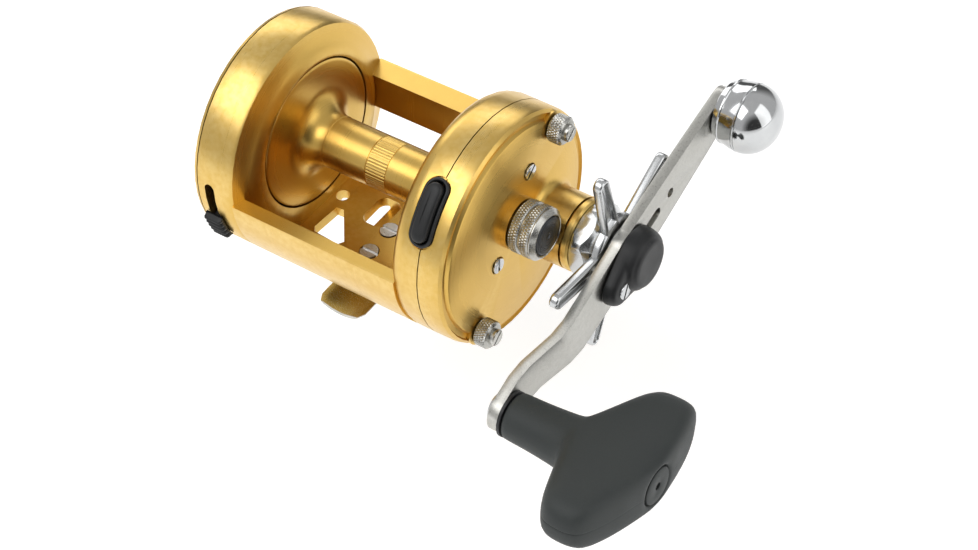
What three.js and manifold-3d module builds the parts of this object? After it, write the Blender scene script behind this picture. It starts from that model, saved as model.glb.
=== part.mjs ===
// Conventional trolling reel with a star drag, a free-spool push button and a counterweighted crank.
// Millimetres, +Z up. +X runs along the spool towards the handle, +Y towards the rod tip.
// The origin is on the foot's underside, straight below the spool axis and midway between the flanges.

import * as THREE from 'three';
import { mergeVertices } from 'three/addons/utils/BufferGeometryUtils.js';
import Module from 'manifold-3d';

const wasm = await Module();
wasm.setup();

// ---------------------------------------------------------------- driving dimensions

const GAP = 0.3;                  // clearance between touching pieces

const RING = { y: 0, z: 33 };     // common axis of the two side rings
const SPOOL = { y: 0, z: 35.7 };  // spool axis, set a little above the rings' centre
const CRANK = { y: 13.2, z: 25.4 }; // handle shaft axis, forward of and below the spool

const RING_R = 32.7;              // outer radius of both rings
const RING_BORE = 29.2;           // inner radius of both rings
const FLANGE_R = 21.2;            // spool flange
const OPENING_R = 21.7;           // opening in each ring's web

const LEFT_END = -40.5;
const LEFT_RING_END = -38.2;
const LEFT_FACE = -24;            // inner face of the left ring
const RIGHT_FACE = 23.5;          // inner face of the right ring
const SEAM = 33;                  // frame ring meets side plate
const PLATE_FACE = 40;            // outer face of the side plate
const PLATE_INNER = 38.3;

const DECK_TOP = RING.z - 22;     // bottom plate of the frame
const DECK_BOTTOM = RING.z - 25;
const FOOT = { x: -2, width: 15, top: 4, tip: 1.3, rear: -25.5, front: 35 };

const GEAR_TEETH = 34;
const PINION_TEETH = 10;
const CENTRE_DISTANCE = Math.hypot(CRANK.y - SPOOL.y, CRANK.z - SPOOL.z);
const MODULE = 2 * CENTRE_DISTANCE / (GEAR_TEETH + PINION_TEETH);
const MESH_ANGLE = Math.atan2(CRANK.z - SPOOL.z, CRANK.y - SPOOL.y);

const ARM_ANGLE = THREE.MathUtils.degToRad(17);   // counterweight end above +Y
const ARM = { outer: 66.4, thickness: 3, weightReach: 48.8, gripReach: 51.9, joggle: 4.6 };
const STAR_R = 28.2;
const STAR_ANGLE = 27.4;          // first arm, degrees above +Y
const BOSS_R = 10.1;

const THUMB_R = 28;               // thumb screws' distance from the rings' axis
const THUMB_ANGLES = [48, 228];
const PLATE_SCREWS = [{ y: 7.7, z: RING.z + 13.9 }, { y: -8.8, z: RING.z - 5.7 }];

const BUTTON = { x: 32.4, angle: 137, halfAngle: 16.5 };
const SLIDER = { x: -34.4, from: 171, to: 203.5 };

// ---------------------------------------------------------------- finishes

const finish = (color, roughness, metalness) =>
  new THREE.MeshStandardMaterial({ color, roughness, metalness });
const GOLD = finish(0xd0a548, 0.35, 1);
const CHROME = finish(0xe2e4e6, 0.1, 1);
const NICKEL = finish(0xc2c1b8, 0.35, 1);
const STEEL = finish(0x9a9ca0, 0.4, 1);
const BRASS = finish(0xb58a3c, 0.4, 1);
const BLACK = finish(0x1c1d1f, 0.45, 0);
const RUBBER = finish(0x3c4142, 0.7, 0);
const FIBRE = finish(0x4a4038, 0.9, 0);

// ---------------------------------------------------------------- solids

const rad = THREE.MathUtils.degToRad;

/** A manifold solid from a closed three.js geometry, with its faces pointing out. */
function solidOf(geometry) {
  geometry.deleteAttribute('normal');
  geometry.deleteAttribute('uv');
  const merged = mergeVertices(geometry, 1e-4);
  const position = merged.attributes.position;
  const corner = [0, 1, 2].map(() => new THREE.Vector3());
  const kept = [];
  let volume = 0;
  for (let i = 0; i < merged.index.count; i += 3) {
    const ids = [0, 1, 2].map((k) => merged.index.getX(i + k));
    if (new Set(ids).size < 3) continue;
    kept.push(...ids);
    ids.forEach((id, k) => corner[k].fromBufferAttribute(position, id));
    volume += corner[0].dot(corner[1].clone().cross(corner[2]));
  }
  if (volume < 0) kept.reverse();
  return new wasm.Manifold(new wasm.Mesh({
    numProp: 3,
    vertProperties: new Float32Array(position.array),
    triVerts: new Uint32Array(kept),
  }));
}

const join = (first, ...others) => others.reduce((sum, next) => sum.add(next), first);
const cut = (first, ...others) => others.reduce((rest, next) => rest.subtract(next), first);

/** Solid turned about an axis along X. The profile is [x, radius] pairs; a ring's profile is closed. */
function turned(profile, axis, segments = 32, ring = false) {
  const points = profile.map(([x, r]) => new THREE.Vector2(r, x));
  if (ring) points.push(points[0].clone());
  const geometry = new THREE.LatheGeometry(points, segments);
  geometry.rotateZ(-Math.PI / 2);
  geometry.translate(0, axis.y, axis.z);
  return solidOf(geometry);
}

const rod = (xa, xb, r, axis, segments = 24) => turned([[xa, 0], [xa, r], [xb, r], [xb, 0]], axis, segments);

const tube = (xa, xb, outer, inner, axis, segments = 24) =>
  turned([[xa, inner], [xa, outer], [xb, outer], [xb, inner]], axis, segments, true);

/** Outline in the YZ plane, measured from an axis, extruded along X. */
function slab(shape, xa, xb, axis = { y: 0, z: 0 }, curveSegments = 12) {
  const geometry = new THREE.ExtrudeGeometry(shape, { depth: xb - xa, bevelEnabled: false, curveSegments });
  const basis = new THREE.Matrix4().makeBasis(
    new THREE.Vector3(0, 1, 0), new THREE.Vector3(0, 0, 1), new THREE.Vector3(1, 0, 0));
  geometry.applyMatrix4(basis);
  geometry.translate(xa, axis.y, axis.z);
  return solidOf(geometry);
}

/** Outline in the XY plane extruded upwards. */
function plate(shape, za, zb, curveSegments = 8) {
  const geometry = new THREE.ExtrudeGeometry(shape, { depth: zb - za, bevelEnabled: false, curveSegments });
  geometry.translate(0, 0, za);
  return solidOf(geometry);
}

function box(xa, xb, ya, yb, za, zb) {
  const geometry = new THREE.BoxGeometry(xb - xa, yb - ya, zb - za);
  geometry.translate((xa + xb) / 2, (ya + yb) / 2, (za + zb) / 2);
  return solidOf(geometry);
}

/** Upright round post or hole. */
function post(x, y, za, zb, r, segments = 16) {
  const geometry = new THREE.CylinderGeometry(r, r, zb - za, segments);
  geometry.rotateX(Math.PI / 2);
  geometry.translate(x, y, (za + zb) / 2);
  return solidOf(geometry);
}

const polygon = (points) => new THREE.Shape(points.map(([u, v]) => new THREE.Vector2(u, v)));

/** Rectangle with round corners. */
function roundedRect(ua, ub, va, vb, r) {
  const shape = new THREE.Shape();
  shape.absarc(ub - r, va + r, r, -Math.PI / 2, 0, false);
  shape.absarc(ub - r, vb - r, r, 0, Math.PI / 2, false);
  shape.absarc(ua + r, vb - r, r, Math.PI / 2, Math.PI, false);
  shape.absarc(ua + r, va + r, r, Math.PI, 1.5 * Math.PI, false);
  shape.closePath();
  return shape;
}

/** Part of a ring between two angles in degrees, counted from +Y towards +Z. */
function arcBand(inner, outer, from, to) {
  const shape = new THREE.Shape();
  shape.absarc(0, 0, outer, rad(from), rad(to), false);
  shape.absarc(0, 0, inner, rad(to), rad(from), true);
  shape.closePath();
  return shape;
}

/** Point at a radius and an angle in degrees about an axis. */
const polar = (axis, r, degrees) => ({
  y: axis.y + r * Math.cos(rad(degrees)),
  z: axis.z + r * Math.sin(rad(degrees)),
});

const reel = new THREE.Group();

function piece(name, solid, material) {
  const mesh = solid.getMesh();
  const geometry = new THREE.BufferGeometry();
  geometry.setAttribute('position', new THREE.BufferAttribute(new Float32Array(mesh.vertProperties), 3));
  geometry.setIndex(new THREE.BufferAttribute(new Uint32Array(mesh.triVerts), 1));
  geometry.computeVertexNormals();
  const node = new THREE.Mesh(geometry, material);
  node.name = name;
  reel.add(node);
}

// ---------------------------------------------------------------- frame

const RING_SEGMENTS = 48;
const BAR_CURVE = 6;
const WEB = 3.6;                  // thickness of each ring's web
const COVER_SCREW_R = 26.4;
const COVER_SCREW_ANGLES = [30, 150, 270];

const coverScrewAxis = (k) => polar(RING, COVER_SCREW_R, COVER_SCREW_ANGLES[k]);
const thumbAxis = (k) => polar(RING, THUMB_R, THUMB_ANGLES[k]);

function leftRing() {
  const shell = turned([
    [LEFT_RING_END, RING_BORE], [LEFT_RING_END, RING_R], [-28, RING_R], [-26.9, 32.1], [-26.1, 29.5],
    [-25.2, 27], [LEFT_FACE, 25], [LEFT_FACE, 15], [LEFT_FACE - WEB, 15], [LEFT_FACE - WEB, RING_BORE],
  ], RING, RING_SEGMENTS, true);
  const bosses = COVER_SCREW_ANGLES.map((angle) => {
    const lug = arcBand(COVER_SCREW_R - 2.6, RING_BORE + 0.4, angle - 6, angle + 6);
    return slab(lug, LEFT_FACE - WEB - 0.2, LEFT_RING_END, RING, 3);
  });
  const threads = [0, 1, 2].map((k) => rod(LEFT_RING_END - 1, -32, 1.3, coverScrewAxis(k), 10));
  return cut(join(shell, ...bosses), ...threads, rod(-30, -20, OPENING_R, SPOOL, 48));
}

function rightRing() {
  const shell = turned([
    [SEAM, RING_BORE], [SEAM, RING_R], [28, RING_R], [26, 32.3], [24.8, 31.4], [24, 30.2],
    [RIGHT_FACE, 28.8], [RIGHT_FACE, 15], [RIGHT_FACE + 3.1, 15], [RIGHT_FACE + 3.1, RING_BORE],
  ], RING, RING_SEGMENTS, true);
  const bosses = THUMB_ANGLES.map((angle) => {
    const lug = arcBand(THUMB_R - 3.2, RING_BORE + 0.4, angle - 6.5, angle + 6.5);
    return slab(lug, RIGHT_FACE + 2.9, SEAM, RING, 3);
  });
  const threads = [0, 1].map((k) => rod(27.5, SEAM + 1, 1.5, thumbAxis(k), 12));
  return cut(join(shell, ...bosses), ...threads, rod(20, 29, OPENING_R, SPOOL, 48));
}

function rearBar() {
  const band = slab(arcBand(28.8, RING_R, 170, 232), LEFT_FACE - 3, RIGHT_FACE + 2, RING, BAR_CURVE);
  return cut(band, box(-60, 60, -60, 0, RING.z + 1, RING.z + 20));
}

function frontBar() {
  const band = slab(arcBand(26, RING_R, -17, 12), LEFT_FACE - 3, RIGHT_FACE + 2, RING, BAR_CURVE);
  return cut(band, box(-60, 60, 0, 60, RING.z + 3, RING.z + 20));
}

function deck() {
  const sheet = box(LEFT_FACE - 3, RIGHT_FACE + 2, -20.2, 20.2, DECK_BOTTOM, DECK_TOP);
  const lip = slab(arcBand(RING_BORE, RING_R, 308, 317), LEFT_FACE - 3, RIGHT_FACE + 2, RING, 3);
  const halfWidth = FOOT.width / 2;
  const saddle = box(FOOT.x - halfWidth, FOOT.x + halfWidth, -15, 24, FOOT.top + GAP, DECK_BOTTOM + 0.5);
  const slot = plate(roundedRect(-11.6, -4.2, -2, 8.6, 2.5), DECK_BOTTOM - 1, DECK_TOP + 1, 3);
  const drain = plate(polygon([
    [-20.5, -10.5], [-19.5, -12], [-11, -12.6], [-10, -11], [-17.5, -1.4], [-19.8, -1.6],
  ]),
    DECK_BOTTOM - 1, DECK_TOP + 1);
  const clampHole = post(-21.2, 3, DECK_BOTTOM - 1, DECK_TOP + 1, 2);
  return cut(join(sheet, lip, saddle), slot, drain, clampHole);
}

const FOOT_SCREWS = [-10.4, -1.2, 14];

function footScrewHole(y) {
  return join(
    post(FOOT.x, y, 1.6, DECK_TOP + 1, 1.5, 12),
    post(FOOT.x, y, DECK_TOP - 1.4, DECK_TOP + 1, 2.9, 16));
}

/** Prism with round ends, standing out of a ring at an angle. */
function radialPill(x, angle, halfWidth, halfAngle) {
  const a = rad(angle);
  const reach = RING_R * Math.sin(rad(halfAngle)) - halfWidth;
  const shape = new THREE.Shape();
  shape.absarc(0, reach, halfWidth, 0, Math.PI, false);
  shape.absarc(0, -reach, halfWidth, Math.PI, 2 * Math.PI, false);
  shape.closePath();
  const geometry = new THREE.ExtrudeGeometry(shape, { depth: 12, bevelEnabled: false, curveSegments: 6 });
  geometry.applyMatrix4(new THREE.Matrix4().makeBasis(
    new THREE.Vector3(1, 0, 0),
    new THREE.Vector3(0, Math.sin(a), -Math.cos(a)),
    new THREE.Vector3(0, Math.cos(a), Math.sin(a))));
  geometry.translate(x, RING.y + 26 * Math.cos(a), RING.z + 26 * Math.sin(a));
  return solidOf(geometry);
}

const buttonPill = (halfWidth, halfAngle) => radialPill(BUTTON.x, BUTTON.angle, halfWidth, halfAngle);

/** Cut-out through the ring wall for the free-spool button. */
const buttonWindow = slab(arcBand(27, 36, BUTTON.angle - 16, BUTTON.angle + 16), 29, 36, RING, 5)
  .intersect(buttonPill(2.8, 15.2));
const bezelHalf = BUTTON.halfAngle + 0.5;
const bezelSeat = slab(arcBand(31.8, 36, BUTTON.angle - bezelHalf, BUTTON.angle + bezelHalf), 28, 37, RING, 5)
  .intersect(buttonPill(3.7, bezelHalf));
const sliderSlot = slab(arcBand(27, 36, SLIDER.from - 1, SLIDER.to + 1), SLIDER.x - 2, SLIDER.x + 2, RING, 5)
  .intersect(radialPill(SLIDER.x, (SLIDER.from + SLIDER.to) / 2, 1.6, (SLIDER.to - SLIDER.from) / 2));

piece('frame_body', cut(
  join(leftRing(), rightRing(), rearBar(), frontBar(), deck()),
  rod(-30, -20, OPENING_R, SPOOL, 48),
  rod(20, 29, OPENING_R, SPOOL, 48),
  ...FOOT_SCREWS.map(footScrewHole),
  buttonWindow, bezelSeat, sliderSlot,
), GOLD);

// ---------------------------------------------------------------- left side cover

const LEFT_BEARING = { from: -37.9, to: -34.9, outer: 5, inner: 2.3 };
const PAWL_STUD = polar(SPOOL, 19, 200);

function leftCover() {
  const dome = turned([
    [LEFT_RING_END - GAP, 0], [LEFT_RING_END - GAP, RING_R], [-39.4, 32.4], [-40.1, 31.4], [LEFT_END, 29.8],
    [LEFT_END, 0],
  ], RING, RING_SEGMENTS);
  const hub = rod(-39, -34.3, 7, SPOOL, 24);
  const pocket = rod(LEFT_BEARING.from - GAP, -34, LEFT_BEARING.outer + GAP, SPOOL, 24);
  const holes = [0, 1, 2].map((k) => join(
    rod(-42, -36, 1.5, coverScrewAxis(k), 10),
    rod(-42, LEFT_END + 1.3, 2.7, coverScrewAxis(k), 14)));
  const stud = join(rod(-39, -30.2, 1.6, PAWL_STUD, 12), rod(-31, -28.2, 1, PAWL_STUD, 12));
  return cut(join(dome, hub, stud), pocket, ...holes);
}

piece('left_cover', leftCover(), GOLD);

/** Slotted screw along X, its head facing away from its thread. */
function screwX(axis, headFace, headDepth, headR, shankEnd, shankR, slotAngle = 0) {
  const away = Math.sign(headFace - shankEnd);
  const headInner = headFace - away * headDepth;
  const order = (a, b) => [Math.min(a, b), Math.max(a, b)];
  const [ha, hb] = order(headInner, headFace);
  const [sa, sb] = order(headInner + away * 0.2, shankEnd);
  const [ca, cb] = order(headFace - away * 0.6, headFace + away);
  const slotBox = new THREE.BoxGeometry(cb - ca, 3 * headR, 0.7);
  slotBox.rotateX(rad(slotAngle));
  slotBox.translate((ca + cb) / 2, axis.y, axis.z);
  return cut(join(rod(ha, hb, headR, axis, 16), rod(sa, sb, shankR, axis, 10)), solidOf(slotBox));
}

COVER_SCREW_ANGLES.forEach((angle, k) => {
  const screw = screwX(coverScrewAxis(k), LEFT_END + 0.2, 0.8, 2.4, -33, 1, angle);
  piece(`cover_screw_${k + 1}`, screw, STEEL);
});

// ---------------------------------------------------------------- foot

function foot() {
  const { x, width, top, tip, rear, front } = FOOT;
  const side = polygon([
    [rear, 0], [front, 0], [front, tip], [front - 9, top - 0.4], [front - 11, top],
    [-16, top], [-18, top - 0.4], [rear, tip],
  ]);
  const bar = slab(side, x - width / 2 - 0.5, x + width / 2 + 0.5);
  const plan = new THREE.Shape();
  const half = width / 2;
  plan.absarc(x + half - 3, rear + 3, 3, -Math.PI / 2, -0.05, false);
  plan.lineTo(x + half + 0.4, -12);
  plan.lineTo(x + half + 0.4, 22);
  plan.absarc(x + half - 3, front - 3, 3, 0.05, Math.PI / 2, false);
  plan.absarc(x - half + 3, front - 3, 3, Math.PI / 2, Math.PI - 0.05, false);
  plan.lineTo(x - half - 0.4, 22);
  plan.lineTo(x - half - 0.4, -12);
  plan.absarc(x - half + 3, rear + 3, 3, Math.PI + 0.05, 1.5 * Math.PI, false);
  plan.closePath();
  return cut(bar.intersect(plate(plan, -1, 10, 4)), ...FOOT_SCREWS.map(footScrewHole));
}

piece('foot', foot(), STEEL);

FOOT_SCREWS.forEach((y, k) => {
  const head = post(FOOT.x, y, DECK_TOP - 1.1, DECK_TOP + 0.3, 2.6, 16);
  const shank = post(FOOT.x, y, 2, DECK_TOP - 1, 1.2, 10);
  const recess = plate(polygon([
    [FOOT.x - 2.8, y - 0.4], [FOOT.x + 2.8, y - 0.4], [FOOT.x + 2.8, y + 0.4], [FOOT.x - 2.8, y + 0.4],
  ]),
    DECK_TOP - 0.4, DECK_TOP + 1);
  piece(`foot_screw_${k + 1}`, cut(join(head, shank), recess), STEEL);
});

// ---------------------------------------------------------------- side plate

const HANDLE_BEARING = { from: 43, to: 47, outer: 7.4, inner: 3.3 };
const BOSS_END = 50.8;
const TENSION_HUB_R = 5;
const KNOB = { from: 42.6, to: 50.6, r: 7.3 };
const RIGHT_BEARING = { from: 40.4, to: 43.4, outer: 3.8, inner: 1.8 };

function sidePlate() {
  const drum = turned([
    [SEAM + GAP, RING_BORE], [SEAM + GAP, RING_R], [38, 32.6], [39.2, 32.3], [PLATE_FACE - 0.1, 31.5],
    [39.3, 31.1], [39.3, 29.7], [PLATE_FACE + 0.2, 29.2], [PLATE_FACE + 0.4, 28.6], [PLATE_FACE + 0.4, 0],
    [PLATE_INNER, 0], [PLATE_INNER, RING_BORE],
  ], RING, RING_SEGMENTS, true);
  const boss = turned([[38.5, 0], [38.5, BOSS_R + 2], [PLATE_FACE + 0.4, BOSS_R + 2], [40.9, BOSS_R + 0.9],
    [41.7, BOSS_R + 0.2], [42.6, BOSS_R], [BOSS_END, BOSS_R], [BOSS_END, 0]], CRANK, 40);
  const knobClearance = tube(KNOB.from - GAP, BOSS_END + 1, KNOB.r + GAP, TENSION_HUB_R, SPOOL, 36);
  const hub = join(rod(38.5, 44.6, TENSION_HUB_R, SPOOL, 24), rod(38.5, KNOB.from - GAP, KNOB.r - 0.1, SPOOL, 36));
  const thumbPads = [0, 1].map((k) => rod(SEAM + GAP, PLATE_FACE + 0.4, 4.3, thumbAxis(k), 20)
    .intersect(rod(SEAM, PLATE_FACE + 0.4, RING_R - 0.2, RING, RING_SEGMENTS)));
  return cut(
    join(cut(join(drum, boss), knobClearance), hub, ...thumbPads),
    rod(37, 52, 3.7, CRANK, 24),
    rod(HANDLE_BEARING.from - GAP, 52, HANDLE_BEARING.outer + GAP, CRANK, 32),
    rod(37, 46, 2.4, SPOOL, 16),
    rod(RIGHT_BEARING.from - GAP, 46, RIGHT_BEARING.outer + GAP, SPOOL, 24),
    ...[0, 1].map((k) => rod(SEAM - 1, 42, 1.8, thumbAxis(k), 14)),
    ...PLATE_SCREWS.map((axis) => join(rod(37, 42, 1.4, axis, 10), rod(39.5, 42, 2.5, axis, 16))),
    buttonWindow, bezelSeat,
  );
}

piece('side_plate', sidePlate(), GOLD);

PLATE_SCREWS.forEach((axis, k) => {
  const name = k === 0 ? 'plate_screw_upper' : 'plate_screw_lower';
  piece(name, screwX(axis, PLATE_FACE + 0.9, 1.1, 2.2, 35, 1, 35 + 50 * k), CHROME);
});

piece('boss_ring', turned([
  [BOSS_END + GAP, 3.8], [BOSS_END + GAP, BOSS_R - 0.3], [51.5, BOSS_R], [52.8, BOSS_R], [53.4, 9.6], [53.4, 3.8],
], CRANK, 40, true), GOLD);

const bearing = ({ from, to, outer, inner }, axis) => tube(from, to, outer, inner, axis, 24);
piece('handle_bearing', bearing(HANDLE_BEARING, CRANK), STEEL);
piece('right_spool_bearing', bearing(RIGHT_BEARING, SPOOL), STEEL);
piece('left_spool_bearing', bearing(LEFT_BEARING, SPOOL), STEEL);

// ---------------------------------------------------------------- bridge inside the side plate

const BRIDGE = { from: 27.5, to: 29.1 };
const DOG_PIVOT = { y: -4, z: RING.z - 17.5 };
const SPRING_POSTS = [{ y: -5.2, z: SPOOL.z + 7 }, { y: -8.6, z: SPOOL.z + 1.2 }];

function bridge() {
  const outline = new THREE.Shape();
  outline.absarc(0, 0, 24.2, rad(-104), rad(118), false);
  outline.absarc(0, 0, 14, rad(150), rad(205), false);
  outline.closePath();
  const posts = PLATE_SCREWS.map((axis) => rod(BRIDGE.to - 0.2, PLATE_INNER - GAP, 2.6, axis, 14));
  const pivot = rod(BRIDGE.to - 0.2, 32.2, 1.2, DOG_PIVOT, 12);
  const springPins = SPRING_POSTS.map((axis) => rod(BRIDGE.to - 0.2, PLATE_INNER - GAP, 0.7, axis, 8));
  return cut(
    join(slab(outline, BRIDGE.from, BRIDGE.to, RING, 10), ...posts, pivot, ...springPins),
    rod(26, 31, 5.6, SPOOL, 24),
    rod(26, 31, 3.2, CRANK, 24),
    ...PLATE_SCREWS.map((axis) => rod(34.4, 40, 1.3, axis, 10)),
  );
}

piece('bridge_plate', bridge(), STEEL);

// ---------------------------------------------------------------- gears

/** Involute spur gear outline centred on its axis, tooth 0 pointing along the given angle. */
function gearShape(teeth, tooth0, backlash = 0.12) {
  const pressure = rad(20);
  const pitch = MODULE * teeth / 2;
  const base = pitch * Math.cos(pressure);
  const tip = pitch + 0.8 * MODULE;
  const root = pitch - 1.15 * MODULE;
  const involute = (r) => {
    const a = Math.acos(Math.min(1, base / r));
    return Math.tan(a) - a;
  };
  const halfAtPitch = Math.PI / (2 * teeth) - backlash / pitch / 2;
  const half = (r) => halfAtPitch + involute(pitch) - involute(Math.max(r, base));
  const flank = [0, 0.5, 1].map((t) => {
    const start = Math.max(base, root);
    return start + (tip - start) * t;
  });
  const points = [];
  const put = (r, angle) => points.push(new THREE.Vector2(r * Math.cos(angle), r * Math.sin(angle)));
  for (let k = 0; k < teeth; k += 1) {
    const centre = tooth0 + 2 * Math.PI * k / teeth;
    put(root, centre - half(base));
    flank.forEach((r) => put(r, centre - half(r)));
    [...flank].reverse().forEach((r) => put(r, centre + half(r)));
    put(root, centre + half(base));
  }
  return new THREE.Shape(points);
}

const GEAR = { from: 31, to: 34.2, recess: 32.4 };
const gear = slab(gearShape(GEAR_TEETH, MESH_ANGLE + Math.PI), GEAR.from, GEAR.to, CRANK);
piece('main_gear', cut(gear, rod(30, 35, 3.3, CRANK, 24), rod(GEAR.recess, 35, 10, CRANK, 32)), BRASS);

const pinionTeeth = slab(gearShape(PINION_TEETH, MESH_ANGLE + Math.PI / PINION_TEETH), 29.9, 34.4, SPOOL);
const pinionBody = turned([
  [28.2, 0], [28.2, 3.2], [29.9, 3.2], [29.9, 2.6], [35.8, 2.6], [35.8, 3.9], [36.6, 3.9],
  [36.6, 0]], SPOOL, 20);
piece('pinion', cut(join(pinionTeeth, pinionBody), rod(27, 38, 1.85, SPOOL, 16)), BRASS);

/** Yoke: a fork that rides in the pinion's groove and slides on two pins. */
function yoke() {
  const outline = polygon([
    [-3.1, -1.6], [-3.1, 3.1], [2.2, 3.1], [2.2, 5.6], [-4, 9.4], [-7, 8.6], [-11.2, 2.8], [-10.4, -1.2],
    [-6, -3.6], [2.2, -5.6], [2.2, -3.1], [-3.1, -3.1],
  ]);
  return cut(slab(outline, 34.6, 35.5, SPOOL), ...SPRING_POSTS.map((axis) => rod(33, 37, 1.1, axis, 8)));
}

piece('clutch_yoke', yoke(), STEEL);

/** Compression spring along X as one round wire. */
function coilSpring(axis, xa, xb, r, wire, turns) {
  const points = [];
  const count = Math.round(turns * 8);
  for (let i = 0; i <= count; i += 1) {
    const a = 2 * Math.PI * turns * i / count;
    const x = xa + (xb - xa) * i / count;
    points.push(new THREE.Vector3(x, axis.y + r * Math.cos(a), axis.z + r * Math.sin(a)));
  }
  const path = new THREE.CatmullRomCurve3(points);
  const section = new THREE.Shape();
  section.absarc(0, 0, wire, 0, 2 * Math.PI, false);
  const geometry = new THREE.ExtrudeGeometry(section, {
    steps: count, extrudePath: path, curveSegments: 3, bevelEnabled: false,
  });
  return solidOf(geometry);
}

SPRING_POSTS.forEach((axis, k) => {
  piece(`yoke_spring_${k + 1}`, coilSpring(axis, 36.95, 37.8, 1.25, 0.2, 2), STEEL);
});

// ---------------------------------------------------------------- handle shaft, drag and reverse stop

const SHAFT_R = 2.9;

function driveShaft() {
  const shoulder = ARM.outer - ARM.thickness - GAP;
  const bar = turned([
    [27.9, 0], [27.9, SHAFT_R], [shoulder, SHAFT_R], [shoulder, 2.5], [69.8, 2.5], [70.2, 2.1], [70.2, 0],
  ], CRANK, 24);
  const flats = [1, -1].map((side) => {
    const flat = new THREE.BoxGeometry(10, 6, 2);
    flat.translate(shoulder + 5, 0, side * 2.9);
    flat.rotateX(ARM_ANGLE);
    flat.translate(0, CRANK.y, CRANK.z);
    return solidOf(flat);
  });
  return cut(bar, ...flats);
}

piece('drive_shaft', driveShaft(), STEEL);

const RATCHET_TEETH = 12;
const RATCHET_R = 8;

function ratchet() {
  const points = [];
  for (let k = 0; k < RATCHET_TEETH; k += 1) {
    const a = 2 * Math.PI * k / RATCHET_TEETH;
    const b = a + 2 * Math.PI * 0.12 / RATCHET_TEETH;
    points.push([RATCHET_R * Math.cos(a), RATCHET_R * Math.sin(a)]);
    points.push([(RATCHET_R - 1.8) * Math.cos(b), (RATCHET_R - 1.8) * Math.sin(b)]);
  }
  return cut(slab(polygon(points), 29.5, 30.6, CRANK), rod(28, 32, SHAFT_R + GAP, CRANK, 24));
}

piece('ratchet_wheel', ratchet(), STEEL);

/** Dog that catches the ratchet; its nose stops just outside the teeth. */
function reverseDog() {
  const reach = { y: CRANK.y - DOG_PIVOT.y, z: CRANK.z - DOG_PIVOT.z };
  const distance = Math.hypot(reach.y, reach.z);
  const angle = Math.atan2(reach.z, reach.y);
  const length = distance - RATCHET_R - 0.5;
  const shape = new THREE.Shape();
  shape.absarc(0, 0, 2.6, rad(50), rad(310), false);
  shape.lineTo(length, -1);
  shape.lineTo(length, 0.8);
  shape.closePath();
  const geometry = new THREE.ExtrudeGeometry(shape, { depth: 1.1, bevelEnabled: false, curveSegments: 6 });
  geometry.rotateZ(angle);
  geometry.applyMatrix4(new THREE.Matrix4().makeBasis(
    new THREE.Vector3(0, 1, 0), new THREE.Vector3(0, 0, 1), new THREE.Vector3(1, 0, 0)));
  geometry.translate(29.5, DOG_PIVOT.y, DOG_PIVOT.z);
  return cut(solidOf(geometry), rod(28, 32, 1.5, DOG_PIVOT, 12));
}

piece('reverse_dog', reverseDog(), STEEL);

const washer = (name, from, to, outer, material) =>
  piece(name, tube(from, to, outer, SHAFT_R + GAP, CRANK), material);

washer('drag_washer_inner', 32.7, 33.4, 9.6, FIBRE);
washer('drag_pressure_plate', 33.7, 34.6, 9.6, STEEL);
washer('drag_washer_outer', 34.9, 35.5, 9.6, FIBRE);
piece('drag_spring_washer', turned([[35.8, 7.6], [36.4, 7.6], [37.4, 3.4], [36.8, 3.4]], CRANK, 28, true), STEEL);
piece('drag_sleeve', tube(37.7, 56, SHAFT_R + 0.7 - 0.25, SHAFT_R + 0.15, CRANK, 24)
  .intersect(rod(37.7, 42.4, 8, CRANK)), BRASS);

// ---------------------------------------------------------------- star wheel

const STAR = { from: 60, to: 62.7 };

const COLLAR = { from: 53.7, to: 59.7, acrossCorners: 11 };

function starCollar() {
  const corners = [0, 1, 2, 3, 4, 5].map((k) => {
    const a = rad(STAR_ANGLE + 60 * k);
    return [COLLAR.acrossCorners * Math.cos(a), COLLAR.acrossCorners * Math.sin(a)];
  });
  const outside = turned([
    [COLLAR.from, SHAFT_R + GAP], [COLLAR.from, 9.8], [55, 10.6], [57, 10.6], [COLLAR.to, 8.4],
    [COLLAR.to, SHAFT_R + GAP],
  ], CRANK, 36, true);
  return slab(polygon(corners), COLLAR.from - 1, COLLAR.to + 1, CRANK).intersect(outside);
}

piece('star_collar', starCollar(), CHROME);

function starWheel() {
  const hub = tube(STAR.from, STAR.to, 8.4, SHAFT_R + GAP, CRANK, 30);
  const arms = [0, 1, 2, 3, 4].map((k) => {
    const outline = new THREE.Shape();
    outline.moveTo(5, -3.6);
    outline.lineTo(STAR_R - 2.4, -2.4);
    outline.absarc(STAR_R - 2.4, 0, 2.4, -Math.PI / 2, Math.PI / 2, false);
    outline.lineTo(5, 3.6);
    outline.closePath();
    const channel = new THREE.Shape();
    channel.moveTo(10.5, -2);
    channel.lineTo(STAR_R - 3, -1.2);
    channel.absarc(STAR_R - 3, 0, 1.2, -Math.PI / 2, Math.PI / 2, false);
    channel.lineTo(10.5, 2);
    channel.closePath();
    const turn = (shape, xa, xb) => {
      const geometry = new THREE.ExtrudeGeometry(shape, { depth: xb - xa, bevelEnabled: false, curveSegments: 3 });
      geometry.rotateZ(rad(STAR_ANGLE + 72 * k));
      geometry.applyMatrix4(new THREE.Matrix4().makeBasis(
        new THREE.Vector3(0, 1, 0), new THREE.Vector3(0, 0, 1), new THREE.Vector3(1, 0, 0)));
      geometry.translate(xa, CRANK.y, CRANK.z);
      return solidOf(geometry);
    };
    return turn(outline, STAR.from, STAR.to).subtract(turn(channel, STAR.from + 1, STAR.to + 1));
  });
  return cut(join(hub, ...arms), rod(STAR.from - 1, STAR.to + 1, SHAFT_R + GAP, CRANK, 24));
}

piece('star_wheel', starWheel(), CHROME);

// ---------------------------------------------------------------- handle arm

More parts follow.
